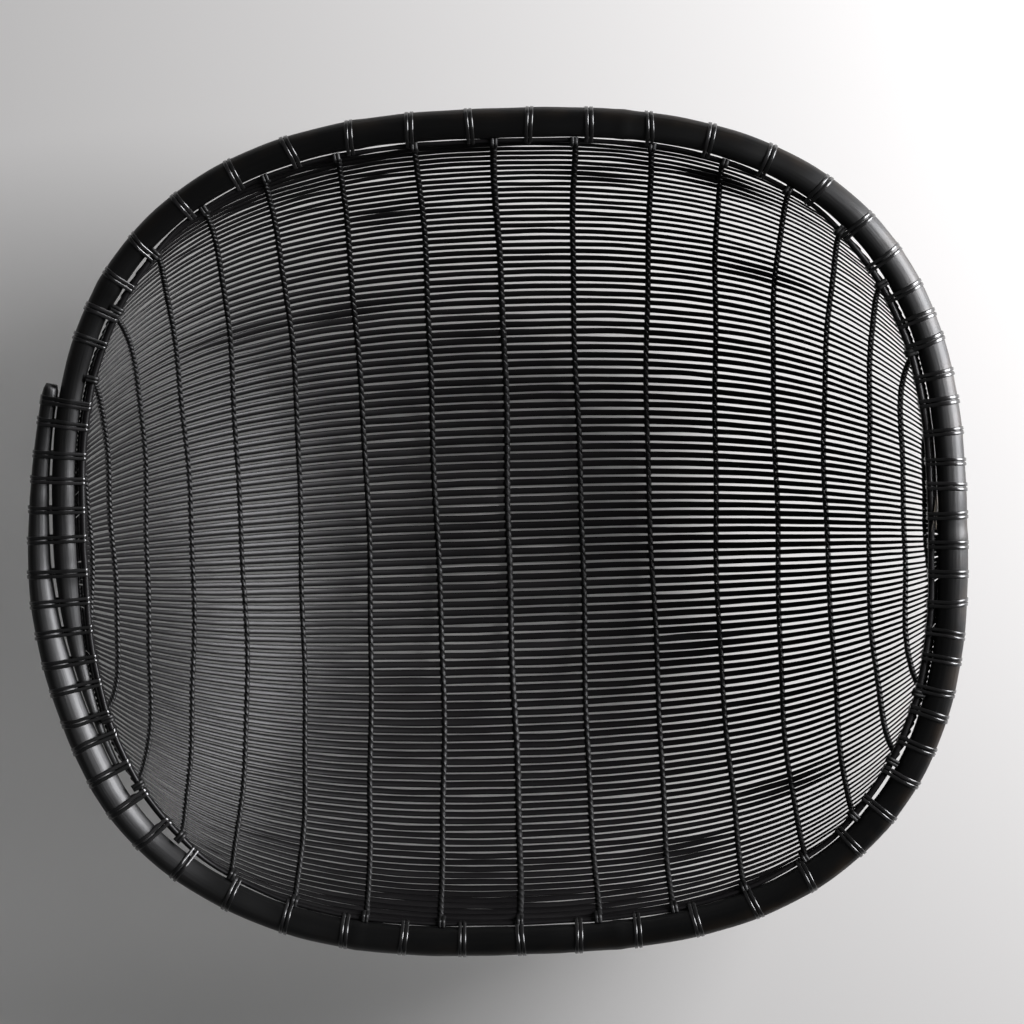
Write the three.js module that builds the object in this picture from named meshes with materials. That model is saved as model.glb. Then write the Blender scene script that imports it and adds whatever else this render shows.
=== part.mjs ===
// Harvest basket: an oval scoop of split-cane rods laid side by side, held across by pairs of
// twining strands, and gathered at the top between a thin hoop and a pole that a lashing binds.
// Millimetres, +Z up, rods along X, standing on the belly with the mouth upwards.
import * as THREE from 'three';

// Wall: the bowl that the middle of every rod lies on
const WALL_HALF_LENGTH = 256.5;
const WALL_HALF_WIDTH = 235.5;
const WALL_DEPTH = 156;
const OUTLINE_POWER = 2.72;
const PROFILE_POWER = 2.64;
const PROFILE_ROUNDNESS = 0.83;

// Rods, which are thinner and further apart towards the two long sides
const BAND_COUNT = 21;
const RODS_PER_BAND = 5;
const ROD_THICKNESS = 1.6;
const ROD_GAP = 1.3;
const SIDE_ROD_GAP = 3;
const ROD_TUCK = 8;
const TUCK_SLOPE = 0.6;
const TOP_ROD_DROP = 7.2;
const FAN_CLOSING = 0.5;
const FAN_POWER = 2.5;
const SIDE_CLOSING = 0.26;
const SIDE_POWER = 2;
const GATHER_LENGTH = 24;
const GATHER_REACH = 10;
const BAND_GAP = 3.9;

// Twining: lines across the rods, counted out from the middle one
const LINES_PER_SIDE = 7;
const LINE_PLACES_PER_SIDE = 8;
const LINE_SPREAD = 1.19;
const LINE_CLOSING = 0.22;
const STRAND_WIDTH = 4;
const STRAND_THICKNESS = 2;
const STRAND_RIM_GAP = 13;

// Rim
const POLE_DIAMETER = 17.4;
const POLE_BUTT_DIAMETER = 7.6;
const POLE_BUTT_DEG = 40;
const POLE_TIP_DIAMETER = 4;
const POLE_TIP_DEG = 30;
const POLE_SLIM_DIAMETER = 14;
const POLE_SLIM_DEG = 60;
const POLE_LAYER_GAP = 0.8;
const POLE_BOW = 1.3;
const POLE_BOW_DEG = 42;
const POLE_START_DEG = 158;
const POLE_OVERLAP_DEG = 51;
const POLE_EASE_DEG = 24;
const HOOP_WIDTH = 4;
const HOOP_HEIGHT = 6;
const HOOP_RISE = 0.5;
const WALL_TOP_DROP = 6;

// Lashing
const LASH_SIZE = 1.4;
const LASH_SPACING = 33;
const LASH_CORNER_ROOM = 28;
const LASH_BEND_DEG = 60;

const CLEARANCE = 0.35;

// Steps that the round forms are drawn with
const RIM_STEPS = 72;
const POLE_SIDES = 8;
const SECTION_STEPS = 240;
const END_STEP = 0.02;
const SMALL = 1e-6;
const ROOT_STEPS = 40;
const RING_PLACES = [1.5, 3.5, 5.5];

const CANE = new THREE.MeshStandardMaterial({ color: 0x1d1b1c, roughness: 0.5, metalness: 0 });
const TWINE = new THREE.MeshStandardMaterial({ color: 0x151415, roughness: 0.6, metalness: 0 });
const POLE = new THREE.MeshStandardMaterial({ color: 0x232021, roughness: 0.42, metalness: 0 });
const LASH = new THREE.MeshStandardMaterial({ color: 0x19181a, roughness: 0.5, metalness: 0 });

const ROD_COUNT = BAND_COUNT * RODS_PER_BAND;
const HALF_ROD = ROD_THICKNESS / 2;

const smooth = (t) => THREE.MathUtils.smoothstep(t, 0, 1);

// Outline and bowl. rho runs from 0 at the middle to 1 on the wall's edge.
function rho(x, y) {
  const length = (Math.abs(x) / WALL_HALF_LENGTH) ** OUTLINE_POWER;
  const width = (Math.abs(y) / WALL_HALF_WIDTH) ** OUTLINE_POWER;
  return (length + width) ** (1 / OUTLINE_POWER);
}

function wallHeight(x, y) {
  const rise = Math.max(0, 1 - rho(x, y) ** PROFILE_POWER);
  return -WALL_TOP_DROP - WALL_DEPTH * rise ** PROFILE_ROUNDNESS;
}

function edgeHalfWidth(x) {
  const share = Math.max(0, 1 - (Math.abs(x) / WALL_HALF_LENGTH) ** OUTLINE_POWER);
  return WALL_HALF_WIDTH * share ** (1 / OUTLINE_POWER);
}

// Direction, seen from above, in which rho grows fastest
function rhoSlope(x, y) {
  const power = OUTLINE_POWER - 1;
  const along = Math.sign(x) * Math.abs(x) ** power / WALL_HALF_LENGTH ** OUTLINE_POWER;
  const across = Math.sign(y) * Math.abs(y) ** power / WALL_HALF_WIDTH ** OUTLINE_POWER;
  return new THREE.Vector2(along, across);
}

// Unit normal of the wall, pointing out of the basket
function wallNormal(point) {
  const r = Math.min(1, rho(point.x, point.y));
  if (r < SMALL) return new THREE.Vector3(0, 0, -1);
  const rise = Math.max(SMALL, 1 - r ** PROFILE_POWER);
  const steep = WALL_DEPTH * PROFILE_ROUNDNESS * PROFILE_POWER
    * r ** (PROFILE_POWER - OUTLINE_POWER) * rise ** (PROFILE_ROUNDNESS - 1);
  const slope = rhoSlope(point.x, point.y).multiplyScalar(steep);
  return new THREE.Vector3(slope.x, slope.y, -1).normalize();
}

// The cross-section of the bowl at one x: its half length, and y at a distance from the middle
const sections = new Map();

function section(x) {
  if (sections.has(x)) return sections.get(x);
  const edge = edgeHalfWidth(x);
  const ys = [0];
  const arcs = [0];
  let before = wallHeight(x, 0);
  for (let i = 1; i <= SECTION_STEPS; i += 1) {
    const y = edge * (1 - (1 - i / SECTION_STEPS) ** 2);
    const z = wallHeight(x, y);
    arcs.push(arcs[i - 1] + Math.hypot(y - ys[i - 1], z - before));
    ys.push(y);
    before = z;
  }
  const made = { arcs, ys, half: arcs[SECTION_STEPS] };
  sections.set(x, made);
  return made;
}

function between(value, from, to) {
  let i = from.findIndex((step) => step >= value);
  if (i < 0) i = from.length - 1;
  if (i === 0) i = 1;
  const span = from[i] - from[i - 1];
  const share = span > 0 ? (value - from[i - 1]) / span : 0;
  return to[i - 1] + share * (to[i] - to[i - 1]);
}

// Distance along the middle of the bowl, and the x that it gives
const middle = { arcs: [0], xs: [0] };
for (let i = 1; i <= SECTION_STEPS; i += 1) {
  const x = WALL_HALF_LENGTH * (1 - (1 - i / SECTION_STEPS) ** 2);
  const last = middle.xs[i - 1];
  middle.arcs.push(middle.arcs[i - 1] + Math.hypot(x - last, wallHeight(x, 0) - wallHeight(last, 0)));
  middle.xs.push(x);
}

// How far along the middle of the bowl x lies: 0 in the middle, 1 at the end of a rod
function climb(x) {
  return between(Math.abs(x), middle.xs, middle.arcs) / middle.arcs[SECTION_STEPS];
}

// Spacing of the rods as a share of that at the middle: they close up as they climb to both ends
function fan(x) {
  return 1 - FAN_CLOSING * climb(x) ** FAN_POWER;
}

// How much more the outer rods draw in, to run along with the rim at the corners
const halfAcross = section(0).half;

function sideDraw(u, x) {
  return SIDE_CLOSING * (Math.abs(u) / halfAcross) ** SIDE_POWER * climb(x) ** SIDE_POWER;
}

// Distance across the bowl at x of a place u across the rods, and how fast it grows with u
function rodArc(u, x) {
  return Math.abs(u) * fan(x) * (1 - sideDraw(u, x));
}

function rodSpread(u, x) {
  return fan(x) * (1 - (SIDE_POWER + 1) * sideDraw(u, x));
}

// The point of the wall at x that lies at a place u across the rods
function wallPoint(u, x) {
  const cut = section(Math.abs(x));
  const arc = Math.min(rodArc(u, x), cut.half);
  const y = Math.sign(u) * between(arc, cut.arcs, cut.ys);
  return new THREE.Vector3(x, y, wallHeight(x, y));
}

// The x at which a line that lies at place(x) across the rods meets the wall's edge
function edgeMeeting(place) {
  let inside = 0;
  let outside = WALL_HALF_LENGTH;
  for (let i = 0; i < ROOT_STEPS; i += 1) {
    const x = (inside + outside) / 2;
    if (rodArc(place(x), x) < section(x).half) inside = x;
    else outside = x;
  }
  sections.clear();
  return inside;
}

// Places of the twining lines
function lineX(place) {
  const t = Math.abs(place) / LINE_PLACES_PER_SIDE;
  const arc = middle.arcs[SECTION_STEPS] * (LINE_SPREAD * t - LINE_CLOSING * t ** 3);
  return Math.sign(place) * between(arc, middle.arcs, middle.xs);
}

// Closed solids from rings of points: one ring after another, with flat ends or joined round
function ringSolid(rings, closed = false) {
  const sides = rings[0].length;
  const points = rings.flat();
  const faces = [];
  const last = closed ? rings.length : rings.length - 1;
  for (let i = 0; i < last; i += 1) {
    const here = i * sides;
    const next = ((i + 1) % rings.length) * sides;
    for (let k = 0; k < sides; k += 1) {
      const turn = (k + 1) % sides;
      faces.push(here + k, here + turn, next + turn);
      faces.push(here + k, next + turn, next + k);
    }
  }
  if (!closed) {
    const end = (rings.length - 1) * sides;
    for (let k = 1; k < sides - 1; k += 1) {
      faces.push(0, k + 1, k);
      faces.push(end, end + k, end + k + 1);
    }
  }
  return facingOut(points, faces);
}

function facingOut(points, faces) {
  let volume = 0;
  for (let i = 0; i < faces.length; i += 3) {
    const [a, b, c] = [points[faces[i]], points[faces[i + 1]], points[faces[i + 2]]];
    volume += a.dot(new THREE.Vector3().crossVectors(b, c));
  }
  if (volume < 0) faces.reverse();
  const geometry = new THREE.BufferGeometry().setFromPoints(points);
  geometry.setIndex(faces);
  return geometry;
}

// A flat-sided section: width along one axis, thickness along the other
function rectangle(centre, wide, width, thick, thickness) {
  const corner = (a, b) => centre.clone()
    .addScaledVector(wide, a * width / 2)
    .addScaledVector(thick, b * thickness / 2);
  return [corner(-1, -1), corner(1, -1), corner(1, 1), corner(-1, 1)];
}

// Rods. A band's rods lie apart across the bowl and run together into one strip of tips at each
// end, so a band is one solid: a cell of four corners for each rod at each place along it.
const pitch = 2 * (halfAcross - TOP_ROD_DROP) / (ROD_COUNT - 1);
const rodPlace = (rod) => (rod - (ROD_COUNT - 1) / 2) * pitch;

// How a band closes up along x: 0 where its rods lie apart, 1 where they touch under the rim
function bandShape(band) {
  const first = band * RODS_PER_BAND;
  const centre = rodPlace(first + (RODS_PER_BAND - 1) / 2);
  const ends = [first, first + RODS_PER_BAND - 1].map((rod) => edgeMeeting(() => rodPlace(rod)));
  const touchFrom = Math.min(...ends) - GATHER_REACH;
  const closing = BAND_GAP / (RODS_PER_BAND * pitch * rodSpread(centre, touchFrom));
  const gathered = (x) => smooth((Math.abs(x) - touchFrom + GATHER_LENGTH) / GATHER_LENGTH);
  const place = (step, x) => centre + (step - RODS_PER_BAND / 2) * pitch * (1 - closing * gathered(x));
  const sideways = (centre / rodPlace(0)) ** 2;
  const open = ROD_GAP + (SIDE_ROD_GAP - ROD_GAP) * sideways;
  const gap = (x) => open * (1 - gathered(x)) / rodSpread(centre, x);
  return { touchFrom, place, gap };
}

// The wall's inner and outer face at a place across the rods
function wallFaces(point) {
  const out = wallNormal(point).multiplyScalar(HALF_ROD);
  return { inner: point.clone().sub(out), outer: point.clone().add(out) };
}

// Rods lying apart at x
function openCells(shape, x) {
  const cells = [];
  for (let i = 0; i < RODS_PER_BAND; i += 1) {
    const low = wallFaces(wallPoint(shape.place(i, x) + shape.gap(x) / 2, x));
    const high = wallFaces(wallPoint(shape.place(i + 1, x) - shape.gap(x) / 2, x));
    cells.push([low.inner, high.inner, high.outer, low.outer]);
  }
  return cells;
}

// Rods touching: neighbours share the faces of the lines between them
function stripCells(faces) {
  return faces.slice(1).map((high, i) => [faces[i].inner, high.inner, high.outer, faces[i].outer]);
}

// The strip of tips at one end of a band, from where the rods touch to the wall's edge and past it
function tipStrip(shape, side) {
  const steps = Array.from({ length: RODS_PER_BAND + 1 }, (_, i) => i);
  const ends = steps.map((step) => edgeMeeting((x) => shape.place(step, x)));
  const point = (step, x) => wallPoint(shape.place(step, side * x), side * x);
  const row = (share) => steps.map((step) => wallFaces(
    point(step, shape.touchFrom + (ends[step] - shape.touchFrom) * share),
  ));
  const spread = Math.max(...ends) - Math.min(...ends);
  const rows = spread > GATHER_REACH ? [row(0), row(0.5), row(1)] : [row(0), row(1)];
  const rise = steps.map((step) => {
    const end = point(step, ends[step]);
    const out = wallNormal(end);
    const way = end.clone().sub(point(step, ends[step] - END_STEP));
    return way.addScaledVector(out, -way.dot(out)).normalize();
  });
  if (Math.min(...rise.map((way) => way.z)) > TUCK_SLOPE) {
    rows.push(rows[rows.length - 1].map(({ inner, outer }, i) => ({
      inner: inner.clone().addScaledVector(rise[i], ROD_TUCK),
      outer: outer.clone().addScaledVector(rise[i], ROD_TUCK),
    })));
  }
  return rows.map(stripCells);
}

function bandStations(shape) {
  const bends = RING_PLACES.map(lineX).filter((x) => x < shape.touchFrom - GATHER_REACH);
  const across = [...bends.map((x) => -x).reverse(), ...bends];
  const open = across.map((x) => ({ cells: openCells(shape, x), joined: false }));
  const strip = (side) => tipStrip(shape, side).map((cells) => ({ cells, joined: true }));
  return [...strip(-1).reverse(), ...open, ...strip(1)];
}

function bandSolid(stations) {
  const points = [];
  const numbers = new Map();
  const number = (point) => {
    if (!numbers.has(point)) numbers.set(point, points.push(point) - 1);
    return numbers.get(point);
  };
  const faces = [];
  const quad = (...corners) => {
    const [a, b, c, d] = corners.map(number);
    faces.push(a, b, c, a, c, d);
  };
  for (let s = 1; s < stations.length; s += 1) {
    const [from, to] = [stations[s - 1], stations[s]];
    from.cells.forEach((near, i) => {
      const far = to.cells[i];
      const apart = !(from.joined && to.joined);
      quad(near[0], near[1], far[1], far[0]);
      quad(near[2], near[3], far[3], far[2]);
      if (apart || i === RODS_PER_BAND - 1) quad(near[1], near[2], far[2], far[1]);
      if (apart || i === 0) quad(near[3], near[0], far[0], far[3]);
    });
  }
  stations[0].cells.forEach((cell) => quad(cell[3], cell[2], cell[1], cell[0]));
  stations[stations.length - 1].cells.forEach((cell) => quad(...cell));
  return facingOut(points, faces);
}

// The middle line of one rod of a band, with the direction out of the wall
function rodLine(stations, i) {
  return stations.map(({ cells }) => {
    const [a, b, c, d] = cells[i];
    const inner = a.clone().add(b).divideScalar(2);
    const outer = c.clone().add(d).divideScalar(2);
    const thick = outer.clone().sub(inner).normalize();
    return { point: inner.add(outer).divideScalar(2), thick };
  });
}

const rods = [];
const basket = new THREE.Group();
const numbered = (name, i) => `${name}_${String(i).padStart(2, '0')}`;

function addPart(name, solid, material) {
  const mesh = new THREE.Mesh(solid, material);
  mesh.name = name;
  basket.add(mesh);
}

for (let band = 0; band < BAND_COUNT; band += 1) {
  const stations = bandStations(bandShape(band));
  addPart(numbered('rod_band', band + 1), bandSolid(stations), CANE);
  for (let i = 0; i < RODS_PER_BAND; i += 1) {
    rods.push(rodLine(stations, i));
  }
}

// Twining strands
function rodAt(line, x) {
  const i = line.findIndex((place, k) => k > 0 && line[k - 1].point.x <= x && x <= place.point.x);
  if (i < 0) return null;
  const [a, b] = [line[i - 1], line[i]];
  const t = (x - a.point.x) / (b.point.x - a.point.x);
  const along = b.point.clone().sub(a.point).normalize();
  const thick = a.thick.clone().lerp(b.thick, t);
  thick.addScaledVector(along, -thick.dot(along)).normalize();
  return { point: a.point.clone().lerp(b.point, t), along, thick };
}

// One strand across the rods at x: on the inside (face -1) or on the outside (face 1) of the wall
function makeStrand(x, face) {
  const half = section(Math.abs(x)).half;
  const lift = HALF_ROD + CLEARANCE + STRAND_THICKNESS / 2;
  const crossed = [];
  rods.forEach((rings, rod) => {
    if (half - rodArc(rodPlace(rod), x) < STRAND_RIM_GAP) return;
    const here = rodAt(rings, x);
    if (!here) return;
    const seat = here.point.clone().addScaledVector(here.thick, face * lift);
    crossed.push({ ...here, seat, rod });
  });
  const bandMiddle = (RODS_PER_BAND - 1) / 2;
  const centreRod = (ROD_COUNT - 1) / 2;
  const last = crossed.length - 1;
  const bends = crossed.filter(({ rod }, i) => i === 0 || i === last
    || (rod % RODS_PER_BAND === bandMiddle && rod !== centreRod
      && rod > crossed[0].rod + bandMiddle && rod < crossed[last].rod - bandMiddle));
  const raise = bends.map(() => 0);
  for (let i = 1; i < bends.length; i += 1) {
    const [a, b] = [bends[i - 1], bends[i]];
    const run = b.seat.clone().sub(a.seat);
    crossed.filter(({ rod }) => rod > a.rod && rod < b.rod).forEach(({ seat, thick }) => {
      const t = seat.clone().sub(a.seat).dot(run) / run.lengthSq();
      const proud = face * seat.clone().sub(a.seat).addScaledVector(run, -t).dot(thick);
      raise[i - 1] = Math.max(raise[i - 1], proud);
      raise[i] = Math.max(raise[i], proud);
    });
  }
  return ringSolid(bends.map(({ seat, along, thick }, i) => rectangle(
    seat.clone().addScaledVector(thick, face * raise[i]), along, STRAND_WIDTH, thick, STRAND_THICKNESS,
  )));
}

for (let line = -LINES_PER_SIDE; line <= LINES_PER_SIDE; line += 1) {
  const number = line + LINES_PER_SIDE + 1;
  addPart(numbered('twining_inner', number), makeStrand(lineX(line), -1), TWINE);
  addPart(numbered('twining_outer', number), makeStrand(lineX(line), 1), TWINE);
}

// Rim: places round the wall's edge, seen from above
function edgeAt(degrees) {
  const angle = THREE.MathUtils.degToRad(degrees);
  const ray = new THREE.Vector2(Math.cos(angle), Math.sin(angle));
  ray.divideScalar(rho(ray.x, ray.y));
  return edgePlace(ray.x, ray.y);
}

function edgePlace(x, y) {
  const out = rhoSlope(x, y).normalize();
  const at = (o, z) => new THREE.Vector3(x + out.x * o, y + out.y * o, z);
  return { at, degrees: THREE.MathUtils.radToDeg(Math.atan2(y, x)) };
}

// How far a straight step between two places round the rim cuts inside the true curve
function facetRoom() {
  let most = 0;
  const step = 360 / RIM_STEPS;
  for (let i = 0; i < RIM_STEPS; i += 1) {
    const chord = edgeAt(i * step).at(0, 0).add(edgeAt((i + 1) * step).at(0, 0)).divideScalar(2);
    most = Math.max(most, chord.distanceTo(edgeAt((i + 0.5) * step).at(0, 0)));
  }
  return most;
}

// The pole lies outside the rods, thinner at both ends. Its butt lies outside its own tip and bows
// away from it.
const poleRadius = POLE_DIAMETER / 2;
const poleFace = HALF_ROD + CLEARANCE + facetRoom();
const poleEnd = POLE_START_DEG + 360 + POLE_OVERLAP_DEG;

function radiusAt(degrees) {
  const fromButt = smooth((degrees - POLE_START_DEG) / POLE_BUTT_DEG);
  const fromTip = smooth((poleEnd - degrees) / POLE_TIP_DEG);
  const fromSplice = smooth((poleEnd - POLE_OVERLAP_DEG - degrees) / POLE_SLIM_DEG);
  const butt = POLE_BUTT_DIAMETER / 2;
  const slim = POLE_SLIM_DIAMETER / 2;
  const tip = POLE_TIP_DIAMETER / 2;
  const farEnd = tip + (slim - tip) * fromTip + (poleRadius - slim) * fromSplice;
  return Math.min(butt + (poleRadius - butt) * fromButt, farEnd);
}

function poleOffset(degrees) {
  const past = degrees - POLE_START_DEG;
  const single = poleFace + radiusAt(degrees);
  if (past > POLE_OVERLAP_DEG + POLE_EASE_DEG) return single;
  const bowed = Math.sin(Math.PI * Math.min(past / POLE_BOW_DEG, 1)) ** 2;
  const under = 2 * radiusAt(Math.min(degrees + 360, poleEnd)) + POLE_LAYER_GAP + POLE_BOW * bowed;
  return single + under * (1 - smooth((past - POLE_OVERLAP_DEG) / POLE_EASE_DEG));
}

function makePole() {
  const count = Math.round(RIM_STEPS * (poleEnd - POLE_START_DEG) / 360);
  const rings = [];
  for (let i = 0; i <= count; i += 1) {
    const degrees = POLE_START_DEG + (poleEnd - POLE_START_DEG) * i / count;
    const place = edgeAt(degrees);
    const radius = radiusAt(degrees);
    const offset = poleOffset(degrees);
    const ring = [];
    for (let k = 0; k < POLE_SIDES; k += 1) {
      const turn = 2 * Math.PI * (k + 0.5) / POLE_SIDES;
      ring.push(place.at(offset + radius * Math.cos(turn), radius * Math.sin(turn)));
    }
    rings.push(ring);
  }
  return ringSolid(rings);
}

const hoopOuter = -HALF_ROD - CLEARANCE;
const hoopInner = hoopOuter - HOOP_WIDTH;
const hoopTop = HOOP_RISE + HOOP_HEIGHT / 2;
const hoopBottom = HOOP_RISE - HOOP_HEIGHT / 2;

function makeHoop() {
  const rings = [];
  for (let i = 0; i < RIM_STEPS; i += 1) {
    const place = edgeAt(360 * i / RIM_STEPS);
    rings.push([
      place.at(hoopInner, hoopBottom), place.at(hoopOuter, hoopBottom),
      place.at(hoopOuter, hoopTop), place.at(hoopInner, hoopTop),
    ]);
  }
  return ringSolid(rings, true);
}

addPart('rim_pole', makePole(), POLE);
addPart('rim_hoop', makeHoop(), CANE);

// Lashing: one turn round pole and hoop at each station, then on under the pole to the next
const lashRoom = LASH_SIZE / Math.SQRT2 + CLEARANCE;
const lashReach = (poleRadius + lashRoom) / Math.cos(THREE.MathUtils.degToRad(LASH_BEND_DEG / 2));
const lashInside = {
  o: hoopInner - lashRoom - facetRoom(),
  bottom: hoopBottom - lashRoom,
  top: hoopTop + lashRoom,
};
const roundPole = (centre, angle) => ({
  o: centre + lashReach * Math.cos(THREE.MathUtils.degToRad(angle)),
  z: lashReach * Math.sin(THREE.MathUtils.degToRad(angle)),
});
const lashUnder = roundPole(poleFace + poleRadius, LASH_BEND_DEG - 180);

function turnAround(place) {
  const past = THREE.MathUtils.euclideanModulo(place.degrees - POLE_START_DEG, 360);
  const degrees = POLE_START_DEG + past;
  const outer = poleOffset(degrees) + radiusAt(degrees) - poleRadius;
  const turn = [
    lashUnder,
    { o: lashInside.o, z: lashInside.bottom },
    { o: lashInside.o, z: lashInside.top },
    { o: lashUnder.o, z: -lashUnder.z },
    roundPole(outer, LASH_BEND_DEG),
    roundPole(outer, 0),
    roundPole(outer, -LASH_BEND_DEG),
  ];
  return turn.map(({ o, z }) => place.at(o, z));
}

// A square cord along straight runs, mitred where it turns
function mitredCord(points, size) {
  const runs = points.slice(1).map((point, i) => point.clone().sub(points[i]).normalize());
  const up = new THREE.Vector3(0, 0, 1);
  const wide = new THREE.Vector3().crossVectors(runs[0], up).normalize();
  const thick = new THREE.Vector3().crossVectors(wide, runs[0]).normalize();
  const rings = [rectangle(points[0], wide, size, thick, size)];
  for (let i = 1; i < points.length; i += 1) {
    const run = runs[i - 1];
    const plane = i < runs.length ? run.clone().add(runs[i]).normalize() : run;
    rings.push(rings[i - 1].map((corner) => {
      const step = points[i].clone().sub(corner).dot(plane) / run.dot(plane);
      return corner.clone().addScaledVector(run, step);
    }));
  }
  return ringSolid(rings);
}

// Stations: one in each space between bands at both ends, and evenly along the two sides
const lashSlope = (lashInside.bottom - lashUnder.z) / (lashInside.o - lashUnder.o);
const lashCrossing = lashUnder.z - lashUnder.o * lashSlope;
const endStations = [];
for (let band = 1; band < BAND_COUNT; band += 1) {
  const u = rodPlace(band * RODS_PER_BAND - 0.5);
  let low = 0;
  let high = edgeMeeting(() => u);
  for (let i = 0; i < ROOT_STEPS; i += 1) {
    const x = (low + high) / 2;
    if (wallPoint(u, x).z < lashCrossing) low = x;
    else high = x;
  }
  const crossing = wallPoint(u, low);
  endStations.push(crossing.divideScalar(rho(crossing.x, crossing.y)));
}
const sideReach = edgeMeeting(() => rodPlace(0)) - LASH_CORNER_ROOM;
const sideCount = Math.round(2 * sideReach / LASH_SPACING);
const sideStations = [];
for (let i = 0; i <= sideCount; i += 1) {
  sideStations.push(sideReach * (2 * i / sideCount - 1));
}

const right = endStations.map((p) => edgePlace(p.x, p.y));
const left = endStations.map((p) => edgePlace(-p.x, p.y)).reverse();
const back = sideStations.map((x) => edgePlace(x, edgeHalfWidth(x))).reverse();
const front = sideStations.map((x) => edgePlace(x, -edgeHalfWidth(x)));
const lengths = { right, back, left, front };
Object.entries(lengths).forEach(([name, places]) => {
  addPart(`lashing_${name}`, mitredCord(places.flatMap(turnAround), LASH_SIZE), LASH);
});

const box = new THREE.Box3().setFromObject(basket);
const centre = box.getCenter(new THREE.Vector3());
basket.position.set(-centre.x, -centre.y, -box.min.z);

export default basket;
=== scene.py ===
# %% [markdown]
# # A harvest basket of black cane
# The basket is an oval scoop. Thin split-cane rods lie side by side along X, twined lines cross
# them, and a bent pole with a thin hoop inside it holds their tips at the rim. The construction
# is already modelled as solids, and this lesson dresses it: every rod, strand and binding is a
# surface worked out with numpy, laid where its solid is.

import bpy
import numpy as np
from mathutils import Matrix, Vector


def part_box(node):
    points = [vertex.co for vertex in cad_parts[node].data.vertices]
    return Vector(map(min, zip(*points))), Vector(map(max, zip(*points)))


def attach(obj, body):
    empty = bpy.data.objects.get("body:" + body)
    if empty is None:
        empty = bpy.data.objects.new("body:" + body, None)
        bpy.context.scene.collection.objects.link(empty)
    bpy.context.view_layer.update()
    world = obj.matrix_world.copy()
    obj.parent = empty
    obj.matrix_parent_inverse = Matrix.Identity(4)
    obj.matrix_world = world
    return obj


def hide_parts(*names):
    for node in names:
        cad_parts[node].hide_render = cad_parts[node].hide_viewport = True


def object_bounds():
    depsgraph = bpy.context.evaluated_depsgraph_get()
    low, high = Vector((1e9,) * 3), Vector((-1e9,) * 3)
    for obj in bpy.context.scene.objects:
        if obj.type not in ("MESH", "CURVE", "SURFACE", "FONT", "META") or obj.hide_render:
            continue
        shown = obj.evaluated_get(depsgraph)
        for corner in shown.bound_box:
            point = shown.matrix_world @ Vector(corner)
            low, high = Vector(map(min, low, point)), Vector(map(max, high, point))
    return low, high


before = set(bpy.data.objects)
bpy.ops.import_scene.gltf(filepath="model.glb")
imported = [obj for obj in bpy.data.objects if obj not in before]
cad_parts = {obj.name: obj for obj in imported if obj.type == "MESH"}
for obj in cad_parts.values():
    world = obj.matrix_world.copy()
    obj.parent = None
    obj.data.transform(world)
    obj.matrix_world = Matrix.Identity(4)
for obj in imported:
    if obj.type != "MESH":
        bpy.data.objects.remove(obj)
cad_box = [list(corner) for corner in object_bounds()]
SEED = 7
chance = np.random.default_rng(SEED)
print("nodes in the frame:", len(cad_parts))

# %% [markdown]
# ## The camera
# The camera looks down into the mouth, a few degrees off square, as the photograph does. It is
# set before anything else, so that each piece can be judged in its real place in the picture. It
# could follow a target, but three small turns in a fixed order give the same view on every run.

# %% Camera
MM = 0.001
hoop_low, hoop_high = (np.array(corner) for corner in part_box("rim_hoop"))
pole_low, pole_high = (np.array(corner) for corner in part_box("rim_pole"))
RIM = np.array([*(hoop_low + hoop_high)[:2] / 2, (pole_low[2] + pole_high[2]) / 2])
VIEW_DISTANCE = 1.503
VIEW_OFFSET = np.array([3.0, 14.7]) * MM
VIEW_TILT = 0.0724
VIEW_SWING = -0.0058
VIEW_ROLL = 0.0327
FOCAL_PIXELS = 2512
FRAME_PIXELS = 1024
SENSOR = 36.0


def turned(axis, angle):
    """Rotation matrix about the axis X, Y or Z."""
    return np.array(Matrix.Rotation(angle, 3, axis))


def add_camera():
    """A camera whose axes are the columns of the turned frame, VIEW_DISTANCE from the rim."""
    axes = (turned("Y", VIEW_SWING) @ turned("X", VIEW_TILT) @ turned("Z", VIEW_ROLL)).T
    data = bpy.data.cameras.new("photo_camera")
    data.sensor_width = SENSOR
    data.lens = SENSOR * FOCAL_PIXELS / FRAME_PIXELS
    camera = bpy.data.objects.new("photo_camera", data)
    placed = Matrix(axes.tolist()).to_4x4()
    placed.translation = RIM + axes @ np.array([*VIEW_OFFSET, VIEW_DISTANCE])
    camera.matrix_world = placed
    bpy.context.scene.collection.objects.link(camera)
    bpy.context.scene.camera = camera
    return camera


camera = add_camera()
print("camera at", [round(v, 3) for v in camera.matrix_world.translation])

# %% [markdown]
# ## Shader maths as expressions
# A material is a small graph of nodes. It could be wired link by link, but written as sums and
# products of Python values the graph stays readable. So one class wraps a socket and adds a Math
# node for each operator.


# %% Sockets as numbers
class Field:
    """A value that varies over a surface: one output socket. Each operator adds its Math node."""

    def __init__(self, tree, socket):
        self.tree = tree
        self.socket = socket

    def math(self, operation, *others, swapped=False):
        """The Math node of that operation on this value and the others."""
        values = [self, *others]
        if swapped:
            values.reverse()
        node = self.tree.nodes.new("ShaderNodeMath")
        node.operation = operation
        for socket, value in zip(node.inputs, values):
            connect(self.tree, socket, value)
        return Field(self.tree, node.outputs[0])

    def __add__(self, other):
        return self.math("ADD", other)

    def __sub__(self, other):
        return self.math("SUBTRACT", other)

    def __rsub__(self, other):
        return self.math("SUBTRACT", other, swapped=True)

    def __mul__(self, other):
        return self.math("MULTIPLY", other)

    def clamp(self):
        """The value held between 0 and 1."""
        return self.math("MAXIMUM", 0.0).math("MINIMUM", 1.0)

    __radd__ = __add__
    __rmul__ = __mul__


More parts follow.
